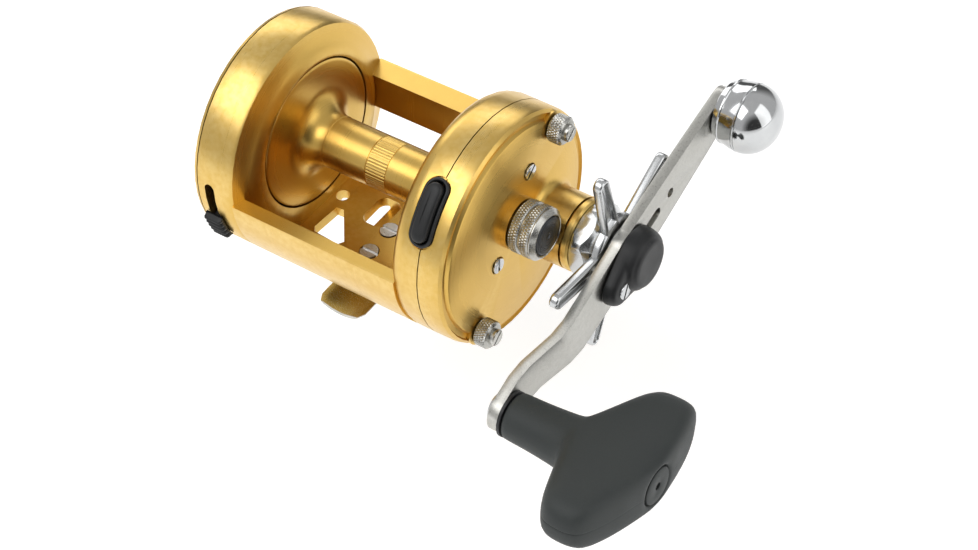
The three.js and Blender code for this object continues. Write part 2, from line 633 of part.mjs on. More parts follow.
/** Places a solid drawn with its length along Y and its width along Z at the crank's angle. */
function onArm(geometry) {
  geometry.rotateX(ARM_ANGLE);
  geometry.translate(0, CRANK.y, CRANK.z);
  return solidOf(geometry);
}

function armSlab(shape, xa, xb, curveSegments = 8) {
  const geometry = new THREE.ExtrudeGeometry(shape, { depth: xb - xa, bevelEnabled: false, curveSegments });
  geometry.applyMatrix4(new THREE.Matrix4().makeBasis(
    new THREE.Vector3(0, 1, 0), new THREE.Vector3(0, 0, 1), new THREE.Vector3(1, 0, 0)));
  geometry.translate(xa, 0, 0);
  return onArm(geometry);
}

function circle(y, z, r) {
  const shape = new THREE.Shape();
  shape.absarc(y, z, r, 0, 2 * Math.PI, false);
  return shape;
}

const armPoint = (s) => ({ y: CRANK.y + s * Math.cos(ARM_ANGLE), z: CRANK.z + s * Math.sin(ARM_ANGLE) });
const WEIGHT = armPoint(ARM.weightReach);
const GRIP = armPoint(-ARM.gripReach);
const GRIP_SEAT = ARM.outer - ARM.joggle;    // outer face of the arm at the grip
const JOGGLE = { from: 26, to: 45 };
const LOCK_OFFSET = 9.4;                     // cover's lock screw, towards the grip

function handleArm() {
  const { outer, thickness, weightReach, gripReach, joggle } = ARM;
  const inner = outer - thickness;
  const plan = new THREE.Shape();
  plan.absarc(weightReach, 0, 5.3, -Math.PI / 2, Math.PI / 2, false);
  plan.lineTo(38, 6);
  plan.lineTo(17, 7);
  plan.absarc(0, 0, 8, rad(70), rad(110), false);
  plan.lineTo(-17, 7);
  plan.lineTo(-30, 6.6);
  plan.absarc(-gripReach, 0, 5.6, Math.PI / 2, 1.5 * Math.PI, false);
  plan.lineTo(-30, -6.6);
  plan.lineTo(-17, -7);
  plan.absarc(0, 0, 8, rad(250), rad(290), false);
  plan.lineTo(17, -7);
  plan.lineTo(38, -6);
  plan.closePath();
  const bend = (s) => {
    const t = THREE.MathUtils.clamp((s - JOGGLE.from) / (JOGGLE.to - JOGGLE.from), 0, 1);
    return joggle * t * t * (3 - 2 * t);
  };
  const stations = [-60, 0, 0.25, 0.5, 0.75, 1, 60].map((t) =>
    (Math.abs(t) > 1 ? t : JOGGLE.from + t * (JOGGLE.to - JOGGLE.from)));
  const side = new THREE.Shape([
    ...stations.map((s) => new THREE.Vector2(outer - bend(s), -s)),
    ...[...stations].reverse().map((s) => new THREE.Vector2(inner - bend(s), -s)),
  ]);
  const profile = new THREE.ExtrudeGeometry(side, { depth: 30, bevelEnabled: false });
  profile.translate(0, 0, -15);
  const blank = onArm(profile).intersect(armSlab(plan, 50, 70));
  const slot = new THREE.Shape();
  slot.absarc(13.6, 0, 1.6, -Math.PI / 2, Math.PI / 2, false);
  slot.absarc(6.5, 0, 1.6, Math.PI / 2, 1.5 * Math.PI, false);
  slot.closePath();
  return cut(blank,
    armSlab(circle(0, 0, 2.9), 50, 70),
    armSlab(slot, 50, 70, 5),
    armSlab(circle(20.5, 0, 1.4), 50, 70, 5),
    armSlab(circle(weightReach, 0, 2.3), 50, 70, 6),
    armSlab(circle(-gripReach, 0, 2.6), 50, 70, 6),
    armSlab(circle(-LOCK_OFFSET, 0, 1.5), 50, 70, 5));
}

piece('handle_arm', handleArm(), NICKEL);

function hexNut(axis, xa, xb, acrossCorners, bore) {
  const points = [0, 1, 2, 3, 4, 5].map((k) => {
    const a = Math.PI * k / 3;
    return [acrossCorners * Math.cos(a), acrossCorners * Math.sin(a)];
  });
  return cut(slab(polygon(points), xa, xb, axis), rod(xa - 1, xb + 1, bore, axis, 24));
}

piece('handle_nut', hexNut(CRANK, ARM.outer + GAP, 69.6, 5.4, 2.8), STEEL);

// Cover over the handle nut: a round lobe on the nut and a smaller, lower one on its lock screw.
const COVER = { outer: 72.8, lobe: 8.8, tail: 9.4, tailR: 5.2, tailTop: 70.4 };
const LOCK = armPoint(-LOCK_OFFSET);

function nutCover() {
  const outline = (inset) => {
    const shape = new THREE.Shape();
    shape.absarc(0, 0, COVER.lobe - inset, rad(-122), rad(122), false);
    shape.absarc(-COVER.tail, 0, COVER.tailR - inset, rad(115), rad(245), false);
    shape.closePath();
    return shape;
  };
  const seat = ARM.outer + GAP;
  const base = armSlab(outline(0), seat, COVER.tailTop - 1.2);
  const bevel = armSlab(outline(0.6), COVER.tailTop - 1.4, COVER.tailTop);
  const dome = turned([
    [seat, 0], [seat, COVER.lobe], [70.6, 8.5], [72, 7.6], [COVER.outer, 6.4], [COVER.outer, 0],
  ], CRANK, 32);
  const nutPocket = armSlab(circle(0, 0, 5.8), ARM.outer, 71);
  const screwWell = armSlab(circle(-LOCK_OFFSET, 0, 1.4), 60, 80, 5);
  const headWell = armSlab(circle(-LOCK_OFFSET, 0, 2.7), 69.2, 80, 6);
  return cut(join(base, bevel, dome), nutPocket, screwWell, headWell);
}

piece('nut_cover', nutCover(), BLACK);
piece('cover_lock_screw', screwX(LOCK, 70.9, 1.4, 2.4, ARM.outer - ARM.thickness + 0.1, 1.1, 62), CHROME);

// ---------------------------------------------------------------- counterweight

const BALL = { x: 74, r: 9.7, end: 82.6 };

function counterweight() {
  const seat = ARM.outer + GAP;
  const dome = [];
  for (let i = 1; i < 6; i += 1) {
    const a = rad(90 * (1 - i / 6));
    dome.push([BALL.x + 0.4 + (BALL.end - BALL.x - 0.4) * Math.cos(a), BALL.r * Math.sin(a)]);
  }
  const outside = turned([
    [seat, 0], [seat, 8], [68.4, 8.5], [68.7, 8.9], [69.3, 8.8], [71, 9.4], [73.6, BALL.r], [BALL.x, BALL.r - 0.3],
    [BALL.x + 0.4, BALL.r], ...dome, [BALL.end, 0],
  ], WEIGHT, 28);
  return cut(outside, rod(60, 74, 2.4, WEIGHT, 16));
}

piece('counterweight_ball', counterweight(), CHROME);

const ARM_INNER = ARM.outer - ARM.thickness;
piece('counterweight_rivet', turned([
  [ARM_INNER - 0.9, 0], [ARM_INNER - 0.9, 3.4], [ARM_INNER - GAP, 3.6], [ARM_INNER - GAP, 2], [73, 2], [73, 0],
], WEIGHT, 16), STEEL);

// ---------------------------------------------------------------- grip

const GRIP_FACE = 105.8;
const GRIP_HALF_LENGTH = 28.5;
const GRIP_HALF_THICKNESS = 7.8;
const GRIP_TILT = rad(-13);                  // turn of the T-bar round the spindle from level

const GRIP_BACK = GRIP_SEAT - ARM.thickness;   // inner face of the arm at the grip
piece('grip_washer', tube(GRIP_SEAT + GAP, GRIP_SEAT + 1.1, 6.3, 2.9, GRIP, 24), BLACK);
piece('grip_spindle', turned([
  [GRIP_BACK - 1.2, 0], [GRIP_BACK - 1.2, 3.8], [GRIP_BACK - GAP, 4.1], [GRIP_BACK - GAP, 2.3],
  [99, 2.3], [99, 3.6], [100.4, 3.6], [100.4, 0],
], GRIP, 20), STEEL);

function gripBody() {
  const half = [
    [GRIP_SEAT + 1.4, 6.6], [71, 6.5], [77, 8], [82, 11.5], [85, 17], [87.6, 23], [91, 27],
    [96, GRIP_HALF_LENGTH], [101, 27.9], [103.6, 25.4], [GRIP_FACE - 0.6, 20], [GRIP_FACE, 8],
  ];
  const plan = new THREE.Shape([...half, ...half.map(([x, y]) => [x, -y]).reverse()]
    .map(([x, y]) => new THREE.Vector2(x, y)));
  const bevel = 4.2;
  const geometry = new THREE.ExtrudeGeometry(plan, {
    depth: 2 * (GRIP_HALF_THICKNESS - bevel), bevelEnabled: true, bevelThickness: bevel, bevelSize: 2.4,
    bevelOffset: -2.4, bevelSegments: 3,
  });
  geometry.translate(0, 0, bevel - GRIP_HALF_THICKNESS);
  geometry.rotateX(GRIP_TILT);
  geometry.translate(0, GRIP.y, GRIP.z);
  return cut(solidOf(geometry),
    rod(60, 101, 2.7, GRIP, 20),
    rod(98.6, 103, 4, GRIP, 20),
    rod(102, 108, 5.6, GRIP, 24));
}

piece('grip_body', gripBody(), RUBBER);
piece('grip_plug', turned([[102.4, 0], [102.4, 5.2], [GRIP_FACE - 0.3, 5.2], [GRIP_FACE, 4.8], [GRIP_FACE, 1],
  [104.2, 1], [104.2, 0]], GRIP, 24), RUBBER);

// ---------------------------------------------------------------- spool

const ARBOR_R = 7.4;
const SHAFT_SMALL = 1.6;

function spool() {
  const lineSpace = [];
  const fillet = 6.5;
  for (let i = 0; i <= 4; i += 1) {
    const a = rad(90 * i / 4);
    const across = fillet * (1 - Math.cos(a));
    lineSpace.push([LEFT_FACE + 0.6 + across, ARBOR_R + fillet * (1 - Math.sin(a))]);
  }
  const leftFillet = lineSpace.map(([x, r]) => [x, r]);
  const rightFillet = lineSpace.map(([x, r]) => [-x - 0.3, r]).reverse();
  return turned([
    [-28, SHAFT_SMALL + GAP], [-28, 5], [-26.4, 5], [-26.4, FLANGE_R], [LEFT_FACE - 0.2, FLANGE_R],
    [LEFT_FACE + 0.2, FLANGE_R - 1.2], [LEFT_FACE + 0.6, FLANGE_R - 1.6],
    ...leftFillet, ...rightFillet,
    [23.4, FLANGE_R - 1.6], [23.7, FLANGE_R - 1.2], [24, FLANGE_R], [25.9, FLANGE_R], [25.9, 5.2], [27.2, 5.2],
    [27.2, SHAFT_SMALL + GAP],
  ], SPOOL, 36, true);
}

piece('spool', spool(), GOLD);
piece('spool_shaft', turned([
  [-37.4, 0], [-37.4, 1.9], [-33, 1.9], [-33, SHAFT_SMALL], [44.6, SHAFT_SMALL], [44.6, 0],
], SPOOL, 16), STEEL);

const CLICK_TEETH = 24;
const CLICK_R = 12;

function clickWheel() {
  const points = [];
  for (let k = 0; k < CLICK_TEETH; k += 1) {
    const a = 2 * Math.PI * k / CLICK_TEETH;
    const step = Math.PI / CLICK_TEETH;
    points.push([CLICK_R * Math.cos(a), CLICK_R * Math.sin(a)]);
    points.push([(CLICK_R - 1.4) * Math.cos(a + step), (CLICK_R - 1.4) * Math.sin(a + step)]);
  }
  return cut(slab(polygon(points), -30, -28.3, SPOOL), rod(-32, -27, 1.95, SPOOL, 16));
}

piece('click_wheel', clickWheel(), BRASS);

// ---------------------------------------------------------------- clicker

const PAWL_REST = -25;            // degrees its nose is turned away from the click wheel

/** Pawl on a stud of the left cover. Its nose swings to just outside the wheel's teeth. */
function clickPawl() {
  const shape = new THREE.Shape();
  shape.absarc(0, 0, 2.2, rad(30), rad(150), false);
  shape.lineTo(-6.6, 0.9);
  shape.lineTo(-6.6, -0.9);
  shape.absarc(0, 0, 2.2, rad(210), rad(330), false);
  shape.lineTo(6.3, -0.3);
  shape.lineTo(6.3, 0.3);
  shape.closePath();
  const geometry = new THREE.ExtrudeGeometry(shape, { depth: 1.5, bevelEnabled: false, curveSegments: 4 });
  geometry.rotateZ(rad(20 + PAWL_REST));
  geometry.applyMatrix4(new THREE.Matrix4().makeBasis(
    new THREE.Vector3(0, 1, 0), new THREE.Vector3(0, 0, 1), new THREE.Vector3(1, 0, 0)));
  geometry.translate(-29.9, PAWL_STUD.y, PAWL_STUD.z);
  return cut(solidOf(geometry), rod(-31, -27, 1.3, PAWL_STUD, 12));
}

piece('click_pawl', clickPawl(), STEEL);

/** Ribbed thumb piece on the ring, with a tongue through the slot. */
function clickSlider() {
  const { x, to } = SLIDER;
  const pad = slab(arcBand(RING_R + GAP, 34.2, to - 14, to + 1), x - 2.7, x + 2.7, RING, 4);
  const ribs = [0, 1, 2, 3].map((k) => {
    const a = to - 12.5 + 3.5 * k;
    return slab(arcBand(34, 35, a, a + 1.6), x - 2.7, x + 2.7, RING, 1);
  });
  const tongue = slab(arcBand(28.4, 33.2, to - 11, to - 2), x - 1.2, x + 1.2, RING, 3);
  return join(pad, ...ribs, tongue);
}

piece('click_slider', clickSlider(), BLACK);

// ---------------------------------------------------------------- free-spool button

const buttonBand = (inner, outer) => slab(arcBand(inner, outer, BUTTON.angle - 18, BUTTON.angle + 18), 28, 37, RING, 8);

piece('button_bezel', cut(
  buttonBand(32.1, 33.4).intersect(buttonPill(3.4, BUTTON.halfAngle)),
  buttonPill(2.4, 14.4),
), BLACK);

piece('free_spool_button', join(
  buttonBand(31.6, 34.5).intersect(buttonPill(2.1, 13.5)),
  buttonBand(34, 35).intersect(buttonPill(1.4, 12)),
), BLACK);

// ---------------------------------------------------------------- cast-control knob

function tensionKnob() {
  const { from, to, r } = KNOB;
  const outside = turned([
    [from, 0], [from, r - 0.3], [from + 0.3, r], [45.4, r], [45.6, r - 0.5], [46.1, r - 0.5], [46.3, r],
    [to - 1.5, r], [to, r - 1.2], [to, 0],
  ], SPOOL, 30);
  return cut(outside, rod(from - 1, 47.3, TENSION_HUB_R + GAP, SPOOL, 24), rod(to - 0.9, to + 1, 5.6, SPOOL, 32));
}

piece('tension_knob', tensionKnob(), NICKEL);
piece('tension_knob_cap', turned([
  [KNOB.to - 0.6, 0], [KNOB.to - 0.6, 5.3], [KNOB.to + 0.1, 5.1], [KNOB.to + 0.1, 1.2], [KNOB.to - 0.2, 0],
], SPOOL, 28), BLACK);
piece('tension_shim', rod(44.95, 46.4, 3.5, SPOOL, 16), BRASS);

// ---------------------------------------------------------------- thumb screws

[0, 1].forEach((k) => {
  const axis = thumbAxis(k);
  const head = turned([[40.7, 0], [40.7, 3.6], [41.4, 3.9], [45.3, 3.9], [46.2, 3.2], [46.2, 0]], axis, 20);
  const shank = rod(28.5, 41, 1.3, axis, 10);
  const coinSlot = new THREE.BoxGeometry(3, 9, 1);
  coinSlot.rotateX(rad(THUMB_ANGLES[k] + 30));
  coinSlot.translate(46.4, axis.y, axis.z);
  const name = k === 0 ? 'thumb_screw_upper' : 'thumb_screw_lower';
  piece(name, cut(join(head, shank), solidOf(coinSlot)), NICKEL);
});

export default reel;
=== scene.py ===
"""Looks of the trolling reel: camera, studio, materials and the detailed visible pieces."""

import math

import bmesh
import bpy
from mathutils import Matrix, Vector


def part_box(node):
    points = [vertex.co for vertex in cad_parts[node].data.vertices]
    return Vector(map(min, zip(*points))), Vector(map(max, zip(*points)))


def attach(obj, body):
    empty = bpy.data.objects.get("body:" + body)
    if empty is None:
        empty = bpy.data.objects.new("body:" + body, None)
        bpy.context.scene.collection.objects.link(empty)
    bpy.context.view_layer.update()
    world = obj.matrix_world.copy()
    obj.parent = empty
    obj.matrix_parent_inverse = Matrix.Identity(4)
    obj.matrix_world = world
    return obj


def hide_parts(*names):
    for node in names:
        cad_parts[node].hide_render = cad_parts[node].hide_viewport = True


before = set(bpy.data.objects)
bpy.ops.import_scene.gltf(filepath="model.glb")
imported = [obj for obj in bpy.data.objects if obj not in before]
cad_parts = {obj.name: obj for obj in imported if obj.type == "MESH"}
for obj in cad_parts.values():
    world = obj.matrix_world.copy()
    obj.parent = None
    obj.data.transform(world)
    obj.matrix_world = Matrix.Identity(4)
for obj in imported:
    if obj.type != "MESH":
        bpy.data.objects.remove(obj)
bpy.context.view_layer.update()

MM = 0.001


# ------------------------------------------------------------ places taken from the frame

def axis_of(node):
    """Centre of a node's box across X, as (y, z)."""
    low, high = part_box(node)
    return (low.y + high.y) / 2, (low.z + high.z) / 2


RING_AXIS = axis_of("left_cover")
SPOOL_AXIS = axis_of("spool")
CRANK_AXIS = axis_of("boss_ring")
GRIP_AXIS = axis_of("grip_washer")
WEIGHT_AXIS = axis_of("counterweight_ball")
RING_R = (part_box("left_cover")[1].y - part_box("left_cover")[0].y) / 2 / MM


# ------------------------------------------------------------ camera and studio

CAMERA_PLACE = Vector((0.2948, -0.3235, 0.4508))
CAMERA_AZIMUTH = math.radians(39.3)
CAMERA_ELEVATION = math.radians(46.52)
CAMERA_ROLL = math.radians(-5.86)
CAMERA_LENS = 84.4

FLOOR_HEIGHT = -0.06
FLOOR_HALF_WIDTH = 3
LIGHTS_AIM = (0.02, 0, 0.03)
ROOM_TONE = 0.60
# Each dark wall: direction to its middle, where it starts and where it is full (as cosines), tone.
DARK_WALLS = (
    ((0.80, -0.58, 0.12), 0.72, 0.93, 0.05),
    ((-0.45, 0.88, 0.05), 0.60, 0.90, 0.12),
)


def grey(tone):
    return tone, tone, tone, 1


def add_camera():
    data = bpy.data.cameras.new("camera")
    data.sensor_width = 36
    data.lens = CAMERA_LENS
    camera = bpy.data.objects.new("camera", data)
    bpy.context.scene.collection.objects.link(camera)
    flat = math.cos(CAMERA_ELEVATION)
    back = Vector((
        math.sin(CAMERA_AZIMUTH) * flat,
        -math.cos(CAMERA_AZIMUTH) * flat,
        math.sin(CAMERA_ELEVATION),
    ))
    right = Vector((math.cos(CAMERA_AZIMUTH), math.sin(CAMERA_AZIMUTH), 0))
    right = Matrix.Rotation(CAMERA_ROLL, 3, back) @ right
    up = back.cross(right)
    turn = Matrix((right, up, back)).transposed().to_4x4()
    camera.matrix_world = Matrix.Translation(CAMERA_PLACE) @ turn
    bpy.context.scene.camera = camera


def add_area(name, place, size, power):
    data = bpy.data.lights.new(name, "AREA")
    data.shape = "RECTANGLE"
    data.size, data.size_y = size
    data.energy = power
    light = bpy.data.objects.new(name, data)
    light.location = place
    direction = Vector(LIGHTS_AIM) - Vector(place)
    light.rotation_euler = direction.to_track_quat("-Z", "Y").to_euler()
    bpy.context.scene.collection.objects.link(light)


def fill_world(tree):
    """A bright room with two darker walls for the metal to reflect."""
    background = tree.nodes["Background"]
    background.inputs["Strength"].default_value = 1.0
    direction = tree.nodes.new("ShaderNodeTexCoord").outputs["Generated"]
    color = None
    for wall, start, full, tone in DARK_WALLS:
        dot = tree.nodes.new("ShaderNodeVectorMath")
        dot.operation = "DOT_PRODUCT"
        tree.links.new(direction, dot.inputs[0])
        dot.inputs[1].default_value = Vector(wall).normalized()
        ramp = tree.nodes.new("ShaderNodeMapRange")
        tree.links.new(dot.outputs["Value"], ramp.inputs["Value"])
        ramp.inputs["From Min"].default_value = start
        ramp.inputs["From Max"].default_value = full
        mix = tree.nodes.new("ShaderNodeMix")
        mix.data_type = "RGBA"
        tree.links.new(ramp.outputs["Result"], mix.inputs["Factor"])
        if color is None:
            mix.inputs["A"].default_value = grey(ROOM_TONE)
        else:
            tree.links.new(color, mix.inputs["A"])
        mix.inputs["B"].default_value = grey(tone)
        color = mix.outputs["Result"]
    tree.links.new(color, background.inputs["Color"])


def add_floor():
    mesh = bpy.data.meshes.new("floor")
    signs = ((-1, -1), (1, -1), (1, 1), (-1, 1))
    corners = [(a * FLOOR_HALF_WIDTH, b * FLOOR_HALF_WIDTH, 0) for a, b in signs]
    mesh.from_pydata(corners, [], [(0, 1, 2, 3)])
    floor = bpy.data.objects.new("floor", mesh)
    floor.location.z = FLOOR_HEIGHT
    bpy.context.scene.collection.objects.link(floor)
    mesh.materials.append(floor_material())


def add_studio():
    bpy.context.scene.view_settings.view_transform = "Standard"
    world = bpy.data.worlds.new("studio")
    bpy.context.scene.world = world
    world.use_nodes = True
    fill_world(world.node_tree)
    add_area("key", (-0.15, -0.45, 0.75), (0.8, 0.6), 3.4)
    add_area("fill", (0.7, 0.1, 0.35), (0.5, 0.8), 1.3)
    add_area("rim", (-0.5, 0.55, 0.5), (0.9, 0.4), 2.1)
    add_floor()


# ------------------------------------------------------------ materials

class Surface:
    """Node tree of one material, with short ways to add and join its nodes."""

    def __init__(self, name):
        self.material = bpy.data.materials.new(name)
        self.material.use_nodes = True
        self.tree = self.material.node_tree
        self.shader = self.tree.nodes["Principled BSDF"]
        self.place = self.node("ShaderNodeTexCoord").outputs["Object"]

    def node(self, kind, **settings):
        made = self.tree.nodes.new(kind)
        for key, value in settings.items():
            setattr(made, key, value)
        return made

    def feed(self, socket, value):
        if isinstance(value, bpy.types.NodeSocket):
            self.tree.links.new(value, socket)
        else:
            socket.default_value = value

    def math(self, operation, a, b=0.0):
        made = self.node("ShaderNodeMath", operation=operation)
        self.feed(made.inputs[0], a)
        self.feed(made.inputs[1], b)
        return made.outputs[0]

    def noise(self, vector, scale, detail=2.0, roughness=0.5):
        made = self.node("ShaderNodeTexNoise")
        self.feed(made.inputs["Vector"], vector)
        made.inputs["Scale"].default_value = scale
        made.inputs["Detail"].default_value = detail
        made.inputs["Roughness"].default_value = roughness
        return made.outputs["Fac"]

    def remap(self, value, low, high, start=0.3, end=0.7):
        made = self.node("ShaderNodeMapRange")
        self.feed(made.inputs["Value"], value)
        for name, number in (("From Min", start), ("From Max", end), ("To Min", low), ("To Max", high)):
            made.inputs[name].default_value = number
        return made.outputs["Result"]

    def blend(self, factor, a, b):
        made = self.node("ShaderNodeMix", data_type="RGBA")
        self.feed(made.inputs["Factor"], factor)
        self.feed(made.inputs["A"], (*a, 1) if isinstance(a, tuple) else a)
        self.feed(made.inputs["B"], (*b, 1) if isinstance(b, tuple) else b)
        return made.outputs["Result"]

    def turned(self, axis):
        """Coordinates that are constant round an axis along X, so noise in them makes lathe lines."""
        split = self.node("ShaderNodeSeparateXYZ")
        self.feed(split.inputs[0], self.place)
        dy = self.math("SUBTRACT", split.outputs["Y"], axis[0])
        dz = self.math("SUBTRACT", split.outputs["Z"], axis[1])
        squares = self.math("ADD", self.math("MULTIPLY", dy, dy), self.math("MULTIPLY", dz, dz))
        radius = self.math("SQRT", squares)
        joined = self.node("ShaderNodeCombineXYZ")
        self.feed(joined.inputs["X"], split.outputs["X"])
        self.feed(joined.inputs["Y"], radius)
        return joined.outputs[0]

    def bump(self, height, strength, distance=0.0001, under=None):
        made = self.node("ShaderNodeBump")
        made.inputs["Strength"].default_value = strength
        made.inputs["Distance"].default_value = distance
        self.feed(made.inputs["Height"], height)
        if under is not None:
            self.feed(made.inputs["Normal"], under)
        return made.outputs["Normal"]

    def edge_highlight(self, color, highlight_color, amount):
        """Colour that turns to a painted highlight colour along convex edges, in noisy patches."""
        geometry = self.node("ShaderNodeNewGeometry")
        edge = self.remap(geometry.outputs["Pointiness"], 0.0, amount, 0.52, 0.6)
        # Painted highlight: a lighter colour laid on convex edges, broken into patches by noise.
        painted_highlight_mask = self.math("MULTIPLY", edge, self.remap(self.noise(self.place, 600), 0.2, 1.0))
        return self.blend(painted_highlight_mask, color, highlight_color)

    def finish(self, color, roughness, normal=None, metallic=0.0, **fixed):
        self.feed(self.shader.inputs["Base Color"], color)
        self.feed(self.shader.inputs["Roughness"], roughness)
        self.shader.inputs["Metallic"].default_value = metallic
        if normal is not None:
            self.feed(self.shader.inputs["Normal"], normal)
        for name, value in fixed.items():
            self.shader.inputs[name.replace("_", " ")].default_value = value
        return self.material


def floor_material():
    s = Surface("studio_floor")
    tone = s.blend(s.noise(s.place, 3), (0.93, 0.93, 0.93), (0.96, 0.96, 0.96))
    return s.finish(tone, 0.9, Emission_Color=(1, 1, 1, 1), Emission_Strength=0.3)


def gold_material(name, axis, line_strength=0.25):
    """Satin gold anodising over fine lathe lines, with painted highlight along the lines and on convex
    edges.
    """
    s = Surface(name)
    lines = s.noise(s.turned(axis), 7200, 2.0, 0.6)
    broad = s.noise(s.turned(axis), 300, 1.0)
    cloud = s.noise(s.place, 38, 3.0)
    tone = s.blend(s.remap(cloud, 0, 1), (0.70, 0.455, 0.115), (0.65, 0.41, 0.095))
    # The lathe lines are real grooves; the lighter gold along them is a painted highlight.
    tone = s.blend(s.remap(lines, 0, 0.22), tone, (0.76, 0.53, 0.17))
    # Painted highlight: pale gold along convex edges.
    tone = s.edge_highlight(tone, (0.88, 0.68, 0.30), 0.45)
    roughness = s.math("ADD", s.remap(lines, 0.27, 0.35), s.remap(broad, -0.015, 0.015))
    grain = s.bump(s.noise(s.place, 9000, 1.0), 0.08, 0.00003)
    normal = s.bump(lines, line_strength, 0.00002, grain)
    return s.finish(tone, roughness, normal, metallic=1.0)


def chrome_material(name, rough=(0.08, 0.15)):
    s = Surface(name)
    smear = s.noise(s.place, 120, 4.0, 0.6)
    tone = s.blend(s.remap(smear, 0, 1), (0.62, 0.63, 0.63), (0.54, 0.55, 0.56))
    roughness = s.remap(smear, *rough)
    normal = s.bump(s.noise(s.place, 700, 2.0), 0.05, 0.00003)
    return s.finish(tone, roughness, normal, metallic=1.0)


def nickel_material(name, grain_scale=2600.0, rough=(0.26, 0.42)):
    """Tumbled nickel plate with a fine sparkle."""
    s = Surface(name)
    grain = s.noise(s.place, grain_scale, 3.0, 0.7)
    cloud = s.noise(s.place, 90, 3.0)
    tone = s.blend(s.remap(grain, 0, 1), (0.37, 0.365, 0.34), (0.52, 0.515, 0.48))
    tone = s.blend(s.remap(cloud, 0, 0.35), tone, (0.43, 0.42, 0.385))
    # Painted highlight: pale nickel along convex edges.
    tone = s.edge_highlight(tone, (0.74, 0.73, 0.70), 0.7)
    return s.finish(tone, s.remap(grain, *rough), s.bump(grain, 0.35, 0.00004), metallic=1.0)


def steel_material(name, axis):
    s = Surface(name)
    lines = s.noise(s.turned(axis), 6000, 2.0)
    tone = s.blend(s.remap(lines, 0, 1), (0.50, 0.51, 0.52), (0.63, 0.63, 0.63))
    # Painted highlight: pale steel along convex edges.
    tone = s.edge_highlight(tone, (0.82, 0.82, 0.82), 0.5)
    return s.finish(tone, s.remap(lines, 0.24, 0.38), s.bump(lines, 0.25, 0.00003), metallic=1.0)


def brass_material(name, axis):
    s = Surface(name)
    lines = s.noise(s.turned(axis), 5000, 2.0)
    tone = s.blend(s.remap(lines, 0, 1), (0.62, 0.42, 0.17), (0.74, 0.55, 0.27))
    return s.finish(tone, s.remap(lines, 0.26, 0.4), s.bump(lines, 0.3, 0.00003), metallic=1.0)


def plastic_material():
    s = Surface("black_moulding")
    pebble = s.noise(s.place, 3600, 2.0)
    cloud = s.noise(s.place, 140, 3.0)
    tone = s.blend(s.remap(cloud, 0, 1), (0.007, 0.0075, 0.008), (0.012, 0.0125, 0.0135))
    # Painted highlight: lighter grey along convex edges of the black moulding.
    tone = s.edge_highlight(tone, (0.035, 0.036, 0.038), 0.6)
    normal = s.bump(pebble, 0.22, 0.00005)
    return s.finish(tone, s.remap(cloud, 0.40, 0.52), normal, Specular_IOR_Level=0.4)


def disc_material():
    """Blackened metal disc with turned lines."""
    s = Surface("dark_turned_disc")
    lines = s.noise(s.turned(SPOOL_AXIS), 4200, 2.0)
    tone = s.blend(s.remap(lines, 0, 1), (0.045, 0.048, 0.052), (0.11, 0.115, 0.12))
    return s.finish(tone, s.remap(lines, 0.24, 0.36), s.bump(lines, 0.3, 0.00003), metallic=0.8)


def rubber_material():
    s = Surface("grip_rubber")
    pores = s.noise(s.place, 5200, 2.0, 0.6)
    dust = s.noise(s.place, 85, 4.0, 0.6)
    tone = s.blend(s.remap(dust, 0, 1), (0.030, 0.035, 0.0345), (0.040, 0.045, 0.043))
    tone = s.blend(s.remap(pores, 0, 0.5, 0.45, 0.75), tone, (0.020, 0.024, 0.025))
    # Painted highlight: lighter grey along convex edges of the rubber.
    tone = s.edge_highlight(tone, (0.062, 0.066, 0.064), 0.5)
    normal = s.bump(pores, 0.3, 0.00006)
    return s.finish(tone, s.remap(dust, 0.5, 0.66), normal, Specular_IOR_Level=0.35)


def fibre_material():
    s = Surface("pressed_fibre")
    strands = s.noise(s.place, 2400, 4.0, 0.7)
    tone = s.blend(strands, (0.10, 0.075, 0.05), (0.22, 0.17, 0.12))
    return s.finish(tone, 0.85, s.bump(strands, 0.5, 0.0001))


GOLD_RING = gold_material("gold_turned_on_ring_axis", RING_AXIS)
GOLD_SPOOL = gold_material("gold_turned_on_spool_axis", SPOOL_AXIS, 0.35)
GOLD_CRANK = gold_material("gold_turned_on_crank_axis", CRANK_AXIS, 0.3)
CHROME = chrome_material("chrome_plate")
CHROME_SATIN = chrome_material("chrome_satin", (0.17, 0.27))
NICKEL_ARM = nickel_material("nickel_tumbled")
NICKEL_KNOB = nickel_material("nickel_satin", 5200.0, (0.2, 0.32))
STEEL_SPOOL = steel_material("steel_on_spool_axis", SPOOL_AXIS)
STEEL_CRANK = steel_material("steel_on_crank_axis", CRANK_AXIS)
STEEL_FOOT = nickel_material("stainless_stamped", 4200.0, (0.2, 0.3))
BRASS_SPOOL = brass_material("brass_on_spool_axis", SPOOL_AXIS)
BRASS_CRANK = brass_material("brass_on_crank_axis", CRANK_AXIS)
BLACK = plastic_material()
DISC = disc_material()
RUBBER = rubber_material()
FIBRE = fibre_material()


# ------------------------------------------------------------ mesh building

class Axis:
    """A line along X. Sizes round it are in millimetres, the points it gives are in metres."""

    def __init__(self, centre, tilt=0.0):
        self.y, self.z = centre
        self.cos, self.sin = math.cos(tilt), math.sin(tilt)

    def at(self, x, across, up):
        y = self.y + (across * self.cos - up * self.sin) * MM
        z = self.z + (across * self.sin + up * self.cos) * MM
        return Vector((x * MM, y, z))

    def ring(self, x, radius, count):
        """Circle round the axis. The radius may be a function of the angle."""
        if radius == 0:
            return [self.at(x, 0, 0)]
        points = []
        for k in range(count):
            angle = 2 * math.pi * k / count
            r = radius(angle) if callable(radius) else radius
            points.append(self.at(x, r * math.cos(angle), r * math.sin(angle)))
        return points


def span(node):
    """The node's ends along X, in millimetres."""
    low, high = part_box(node)
    return low.x / MM, high.x / MM


